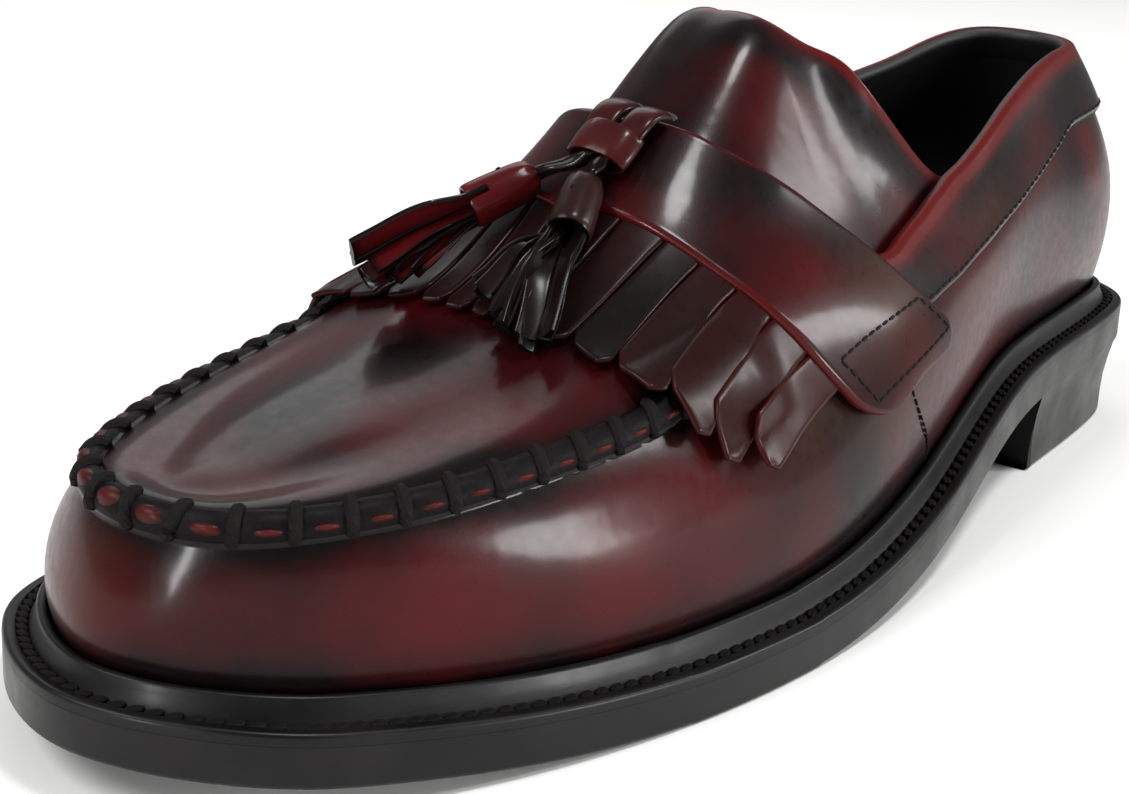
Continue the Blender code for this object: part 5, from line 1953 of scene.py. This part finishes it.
@dataclass
class Tassel:
    """A rolled cap with cut strips fanned out of its mouth."""

    last: Last
    bench: Bench
    name: str
    node: str
    place: Place
    finish: bpy.types.Material
    # The black finish of the pod that is painted shade for the pinhole
    dark: bpy.types.Material
    cap: list
    tips: list
    hole_side: float = 0.55
    cap_radius: float = 0.0041
    cap_length: float = 0.0128
    cap_lead: float = 0.05
    strip_width: float = 0.0042
    broad_strip: float = 1.0
    strip_thickness: float = 0.0010

    def spot(self, place: tuple) -> Array:
        """One point above the last, by column, level and lift."""
        return self.last.lifted(*(np.array([value]) for value in place))[0]

    def axes(self) -> Axes:
        """The cap's top, and its directions down its length, to the side and up."""
        top, foot = self.spot(self.cap[0]), self.spot(self.cap[1])
        unit = (foot - top) / np.linalg.norm(foot - top)
        side = to_unit(np.cross(unit, np.array([0, 0, 1.0])))
        return Axes(top, unit, side, np.cross(side, unit))

    def cord_end(self) -> tuple[Array, Array]:
        """Where the cord meets the cap, and its direction there."""
        axes = self.axes()
        return axes.centre - self.cap_lead * self.cap_length * axes.ahead, axes.ahead

    def build(self) -> None:
        """Makes the cap, a black pod as painted shade for its pinhole, and the strips."""
        axes = self.axes()
        forms = [self.rolled_cap(axes)]
        for number, tip in enumerate(self.tips):
            forms += [self.strip(axes, self.spot(tip), number, twin) for twin in (0, 1)]
        self.bench.piece(self.name, joined(forms), [self.finish], self.place, (self.node,))
        # Painted shade: a black pod stands for the dark inside the cap's pinhole
        away = self.cap_radius * 0.93
        hole = axes.at(0.42 * self.cap_length, away * 0.3 * self.hole_side, away * 0.95)
        pin = beads(hole[None], axes.ahead[None], axes.up[None], (0.0010, 0.0009, 0.0008))
        self.bench.piece(self.name + "_pinhole_shade", pin, [self.dark], self.place)

    def rolled_cap(self, axes: Axes) -> Form:
        """The cap: leather rolled up, so its radius steps where the end laps over, and its mouth is open, with
        painted shade inside it.
        """
        along, size = CAP_SECTION["along"].copy(), CAP_SECTION["size"]
        along[0] = -self.cap_lead
        rim = 10
        angle = full_turn(56)
        lap = np.mod(angle + 0.5, 2 * math.pi) / (2 * math.pi)
        step = 0.94 + 0.09 * lap - 0.09 * smooth((lap - 0.965) / 0.035)
        gather = 1 + 0.05 * np.cos(9 * angle) * smooth((0.22 - along[:, None]) / 0.2)
        radius = self.cap_radius * size[:, None] * step * gather
        rings = axes.at((along * self.cap_length)[:, None], radius * np.cos(angle), radius * np.sin(angle))
        nothing = np.zeros(len(angle))
        head = axes.at(-self.cap_lead * self.cap_length, nothing, nothing)
        close = axes.at(0.8 * self.cap_length, nothing, nothing)
        points = np.concatenate([head[None], rings, close[None]])
        ring = np.arange(len(along))
        # Painted shade: the faces inside the mouth and the closing point go near black; the head point and the
        # narrow top rings are darker too
        dark = np.concatenate([[1.0], np.where(ring > rim, 1.6, 0.35 * (size < 0.7)), [1.6]])
        edge = np.concatenate([[0.0], np.where(ring == rim, 0.7, 0.0), [0.0]])
        marks = {Mark.BURNISH_AND_SHADE: dark[:, None] * np.ones(len(angle)), Mark.EDGE: edge[:, None] * np.ones(len(angle))}
        return form_of(points, grid_faces(len(points), len(angle), ring=True), marks=marks)

    def strip(self, axes: Axes, end: Array, number: int, twin: int) -> Form:
        """A cut strip from the cap's mouth to its tip, arched over and twisting as it goes.

        Args:
            axes: the cap's top and directions.
            end: the strip's tip.
            number: which strip it is, for its twist.
            twin: 1 for the narrower strip beside it, 0 for the strip itself.

        Returns:
            The strip.
        """
        unit, side, over = axes.ahead, axes.across, axes.up
        foot = axes.centre + self.cap_length * unit
        spread = (end - foot) - np.dot(end - foot, unit) * unit
        start = foot + 0.5 * self.cap_radius * spread / (np.linalg.norm(spread) + 1e-9)
        beside = 0.0010 * side * math.cos(2.1 * number) - 0.0012 * over + 0.0015 * unit * math.sin(1.7 * number)
        tip = end + twin * beside
        length = np.linalg.norm(tip - start)
        wiggle = 0.0004 * math.sin(2.7 * number + 1.9 * twin)
        arch = 0.04 if self.broad_strip > 1 else 0.09
        middle = start + 0.42 * (tip - start) + (arch - 0.03 * twin) * length * over + wiggle * side
        late = start + 0.78 * (tip - start) + 0.4 * arch * length * over - wiggle * side
        count = 26
        path = curve([start - 0.004 * unit, start + 0.0015 * unit, middle, late, tip], count)
        share = np.linspace(0, 1, count)
        broad = self.broad_strip if number == 0 and not twin else 1.0
        widths = broad * self.strip_width * (0.72 + 0.28 * smooth(share / 0.5)) * (1 - 0.16 * twin)
        turn = 0.9 * (number % 3 - 1) + 0.5 * twin + 0.7 * math.sin(1.3 * number + twin) * share
        facing = np.cos(turn)[:, None] * side + np.sin(turn)[:, None] * over
        form = bar(path, widths, self.strip_thickness, facing, power=4.0, bow=0.10)
        # Painted shade: each strip is darker where it leaves the cap's mouth, and the lower twin strips are darker
        # than the ones over them
        form.marks[Mark.BURNISH_AND_SHADE] = np.repeat(0.25 + 0.35 * bell(share / 0.2) + 0.3 * twin, BAR_SIDES)
        return form


# Where each cap runs from top to mouth and where its strips end: column, level and height above the last
NEAR_CAP = [(10.02, 0.925, 0.0062), (10.47, 0.862, 0.0068)]
NEAR_TIPS = [
    (11.29, 0.700, 0.0040),
    (11.42, 0.742, 0.0036),
    (11.50, 0.785, 0.0046),
    (11.50, 0.824, 0.0036),
    (11.42, 0.862, 0.0046),
    (11.30, 0.895, 0.0040),
    (11.10, 0.920, 0.0056),
    (11.30, 0.960, 0.0044),
    (11.22, 1.000, 0.0040),
]
FAR_CAP = [(21.93, 0.930, 0.0062), (21.52, 0.835, 0.0082)]
FAR_TIPS = [
    (20.60, 0.700, 0.0121),
    (20.66, 0.735, 0.0090),
    (20.72, 0.670, 0.0062),
    (20.82, 0.715, 0.0056),
    (20.80, 0.760, 0.0062),
    (20.92, 0.800, 0.0060),
]


@dataclass
class Studio:
    """A pale floor, soft boxes and the camera at the photograph's angle."""

    azimuth: float = 37.2
    elevation: float = 18.1
    roll: float = 2.6
    place: tuple = (0.2261, -0.3390, 0.1585)
    lens: float = 70.28
    sensor: float = 36.0
    shift: tuple = (0.00195, 0.0039)
    clip: tuple = (0.01, 50.0)
    floor_size: float = 8.0
    world_strength: float = 0.26
    # Each soft box: name, place, target, size, power in watts and turn in radians
    boxes: tuple = (
        ("key_box", (-0.45, -1.05, 1.25), (0.0, -0.06, 0.05), (1.10, 0.90), 18.0, 0.0),
        ("toe_strip", (0.17, -1.32, 0.25), (0.0, -0.13, 0.04), (0.10, 0.48), 7.0, 0.0),
        ("side_box", (1.18, 0.36, 0.15), (0.0, -0.03, 0.05), (0.34, 0.28), 8.0, 0.0),
        ("top_box", (0.42, 0.02, 1.25), (0.0, -0.02, 0.08), (0.28, 0.24), 8.0, 0.0),
        ("tongue_strip", (0.80, 0.78, 0.55), (0.0, 0.02, 0.08), (0.16, 0.70), 6.5, 0.75),
        ("back_box", (-0.72, 0.66, 0.82), (0.0, -0.04, 0.05), (0.95, 0.70), 3.0, 0.0),
    )

    def build(self) -> None:
        """Makes floor, world, lights and camera."""
        self.floor()
        self.world()
        for box in self.boxes:
            self.soft_box(*box)
        self.camera()

    def floor(self) -> None:
        """The floor, a smooth painted board."""
        half = self.floor_size / 2
        corners = [(-half, -half, 0), (half, -half, 0), (half, half, 0), (-half, half, 0)]
        mesh = bpy.data.meshes.new("floor")
        mesh.from_pydata(corners, [], [(0, 1, 2, 3)])
        made = bpy.data.materials.new("matt_white_board")
        made.use_nodes = True
        tree = made.node_tree
        shader = tree.nodes["Principled BSDF"]
        place = add(tree, "TexCoord").outputs["Object"]
        tone = add(tree, "TexNoise", {"Vector": place, "Scale": 6.0, "Detail": 2.0})
        base = add(tree, "MixRGB", blend(tone.outputs["Fac"], linear("#F6F6F5"), linear("#F1F1F0")))
        tree.links.new(base.outputs["Color"], shader.inputs["Base Color"])
        shader.inputs["Roughness"].default_value = 0.9
        mesh.materials.append(made)
        floor = bpy.data.objects.new("floor", mesh)
        bpy.context.scene.collection.objects.link(floor)

    def world(self) -> None:
        """An even white surround."""
        world = bpy.data.worlds.new("studio")
        bpy.context.scene.world = world
        world.use_nodes = True
        surround = world.node_tree.nodes["Background"].inputs
        surround["Color"].default_value = linear("#FFFFFF")
        surround["Strength"].default_value = self.world_strength

    def soft_box(self, name: str, place: tuple, target: tuple, size: tuple, power: float, turn: float) -> None:
        """An oval soft box that faces the shoe, turned about its own axis."""
        light = bpy.data.lights.new(name, "AREA")
        light.shape = "ELLIPSE"
        light.size, light.size_y = size
        light.energy = power
        box = bpy.data.objects.new(name, light)
        box.location = place
        way = Vector(target) - Vector(place)
        box.rotation_euler = (way.to_track_quat("-Z", "Y") @ Quaternion((0, 0, 1), turn)).to_euler()
        bpy.context.scene.collection.objects.link(box)

    def camera(self) -> None:
        """The camera, its own axes worked out from azimuth, elevation and roll."""
        a, e, r = (math.radians(angle) for angle in (self.azimuth, self.elevation, self.roll))
        back = Vector((math.sin(a) * math.cos(e), -math.cos(a) * math.cos(e), math.sin(e)))
        right = Vector((math.cos(a), math.sin(a), 0))
        up = Vector((-math.sin(e) * math.sin(a), math.sin(e) * math.cos(a), math.cos(e)))
        turned_right = math.cos(r) * right + math.sin(r) * up
        turned_up = math.cos(r) * up - math.sin(r) * right
        data = bpy.data.cameras.new("camera")
        data.lens = self.lens
        data.sensor_width = self.sensor
        data.shift_x, data.shift_y = self.shift
        data.clip_start, data.clip_end = self.clip
        camera = bpy.data.objects.new("camera", data)
        turned = Matrix((turned_right, turned_up, back)).transposed().to_4x4()
        camera.matrix_world = Matrix.Translation(Vector(self.place)) @ turned
        bpy.context.scene.collection.objects.link(camera)
        bpy.context.scene.camera = camera
        bpy.context.scene.view_settings.view_transform = "Standard"


def main() -> None:
    """Builds the shoe from the sole up, then the studio."""
    logging.basicConfig(level=logging.INFO, format="%(name)s %(message)s")
    last = Last()
    shelf = finishes()
    bench = Bench(last.centre)
    for part in (SoleUnit, Upper, Tongue, CollarBand, Strap, Kiltie):
        part(last, shelf, bench).build()
    near_names = ("near_tassel", "tassel_near", Place.TASSEL)
    far_names = ("far_tassel", "tassel_far", Place.RED)
    near = Tassel(last, bench, *near_names, shelf.near_tassel, shelf.thread, NEAR_CAP, NEAR_TIPS)
    far = Tassel(last, bench, *far_names, shelf.far_tassel, shelf.thread, FAR_CAP, FAR_TIPS, broad_strip=1.9)
    near.build()
    far.build()
    Knot(last, shelf, bench).build([near.cord_end(), far.cord_end()])
    Studio().build()


if __name__ == "__main__":
    main()
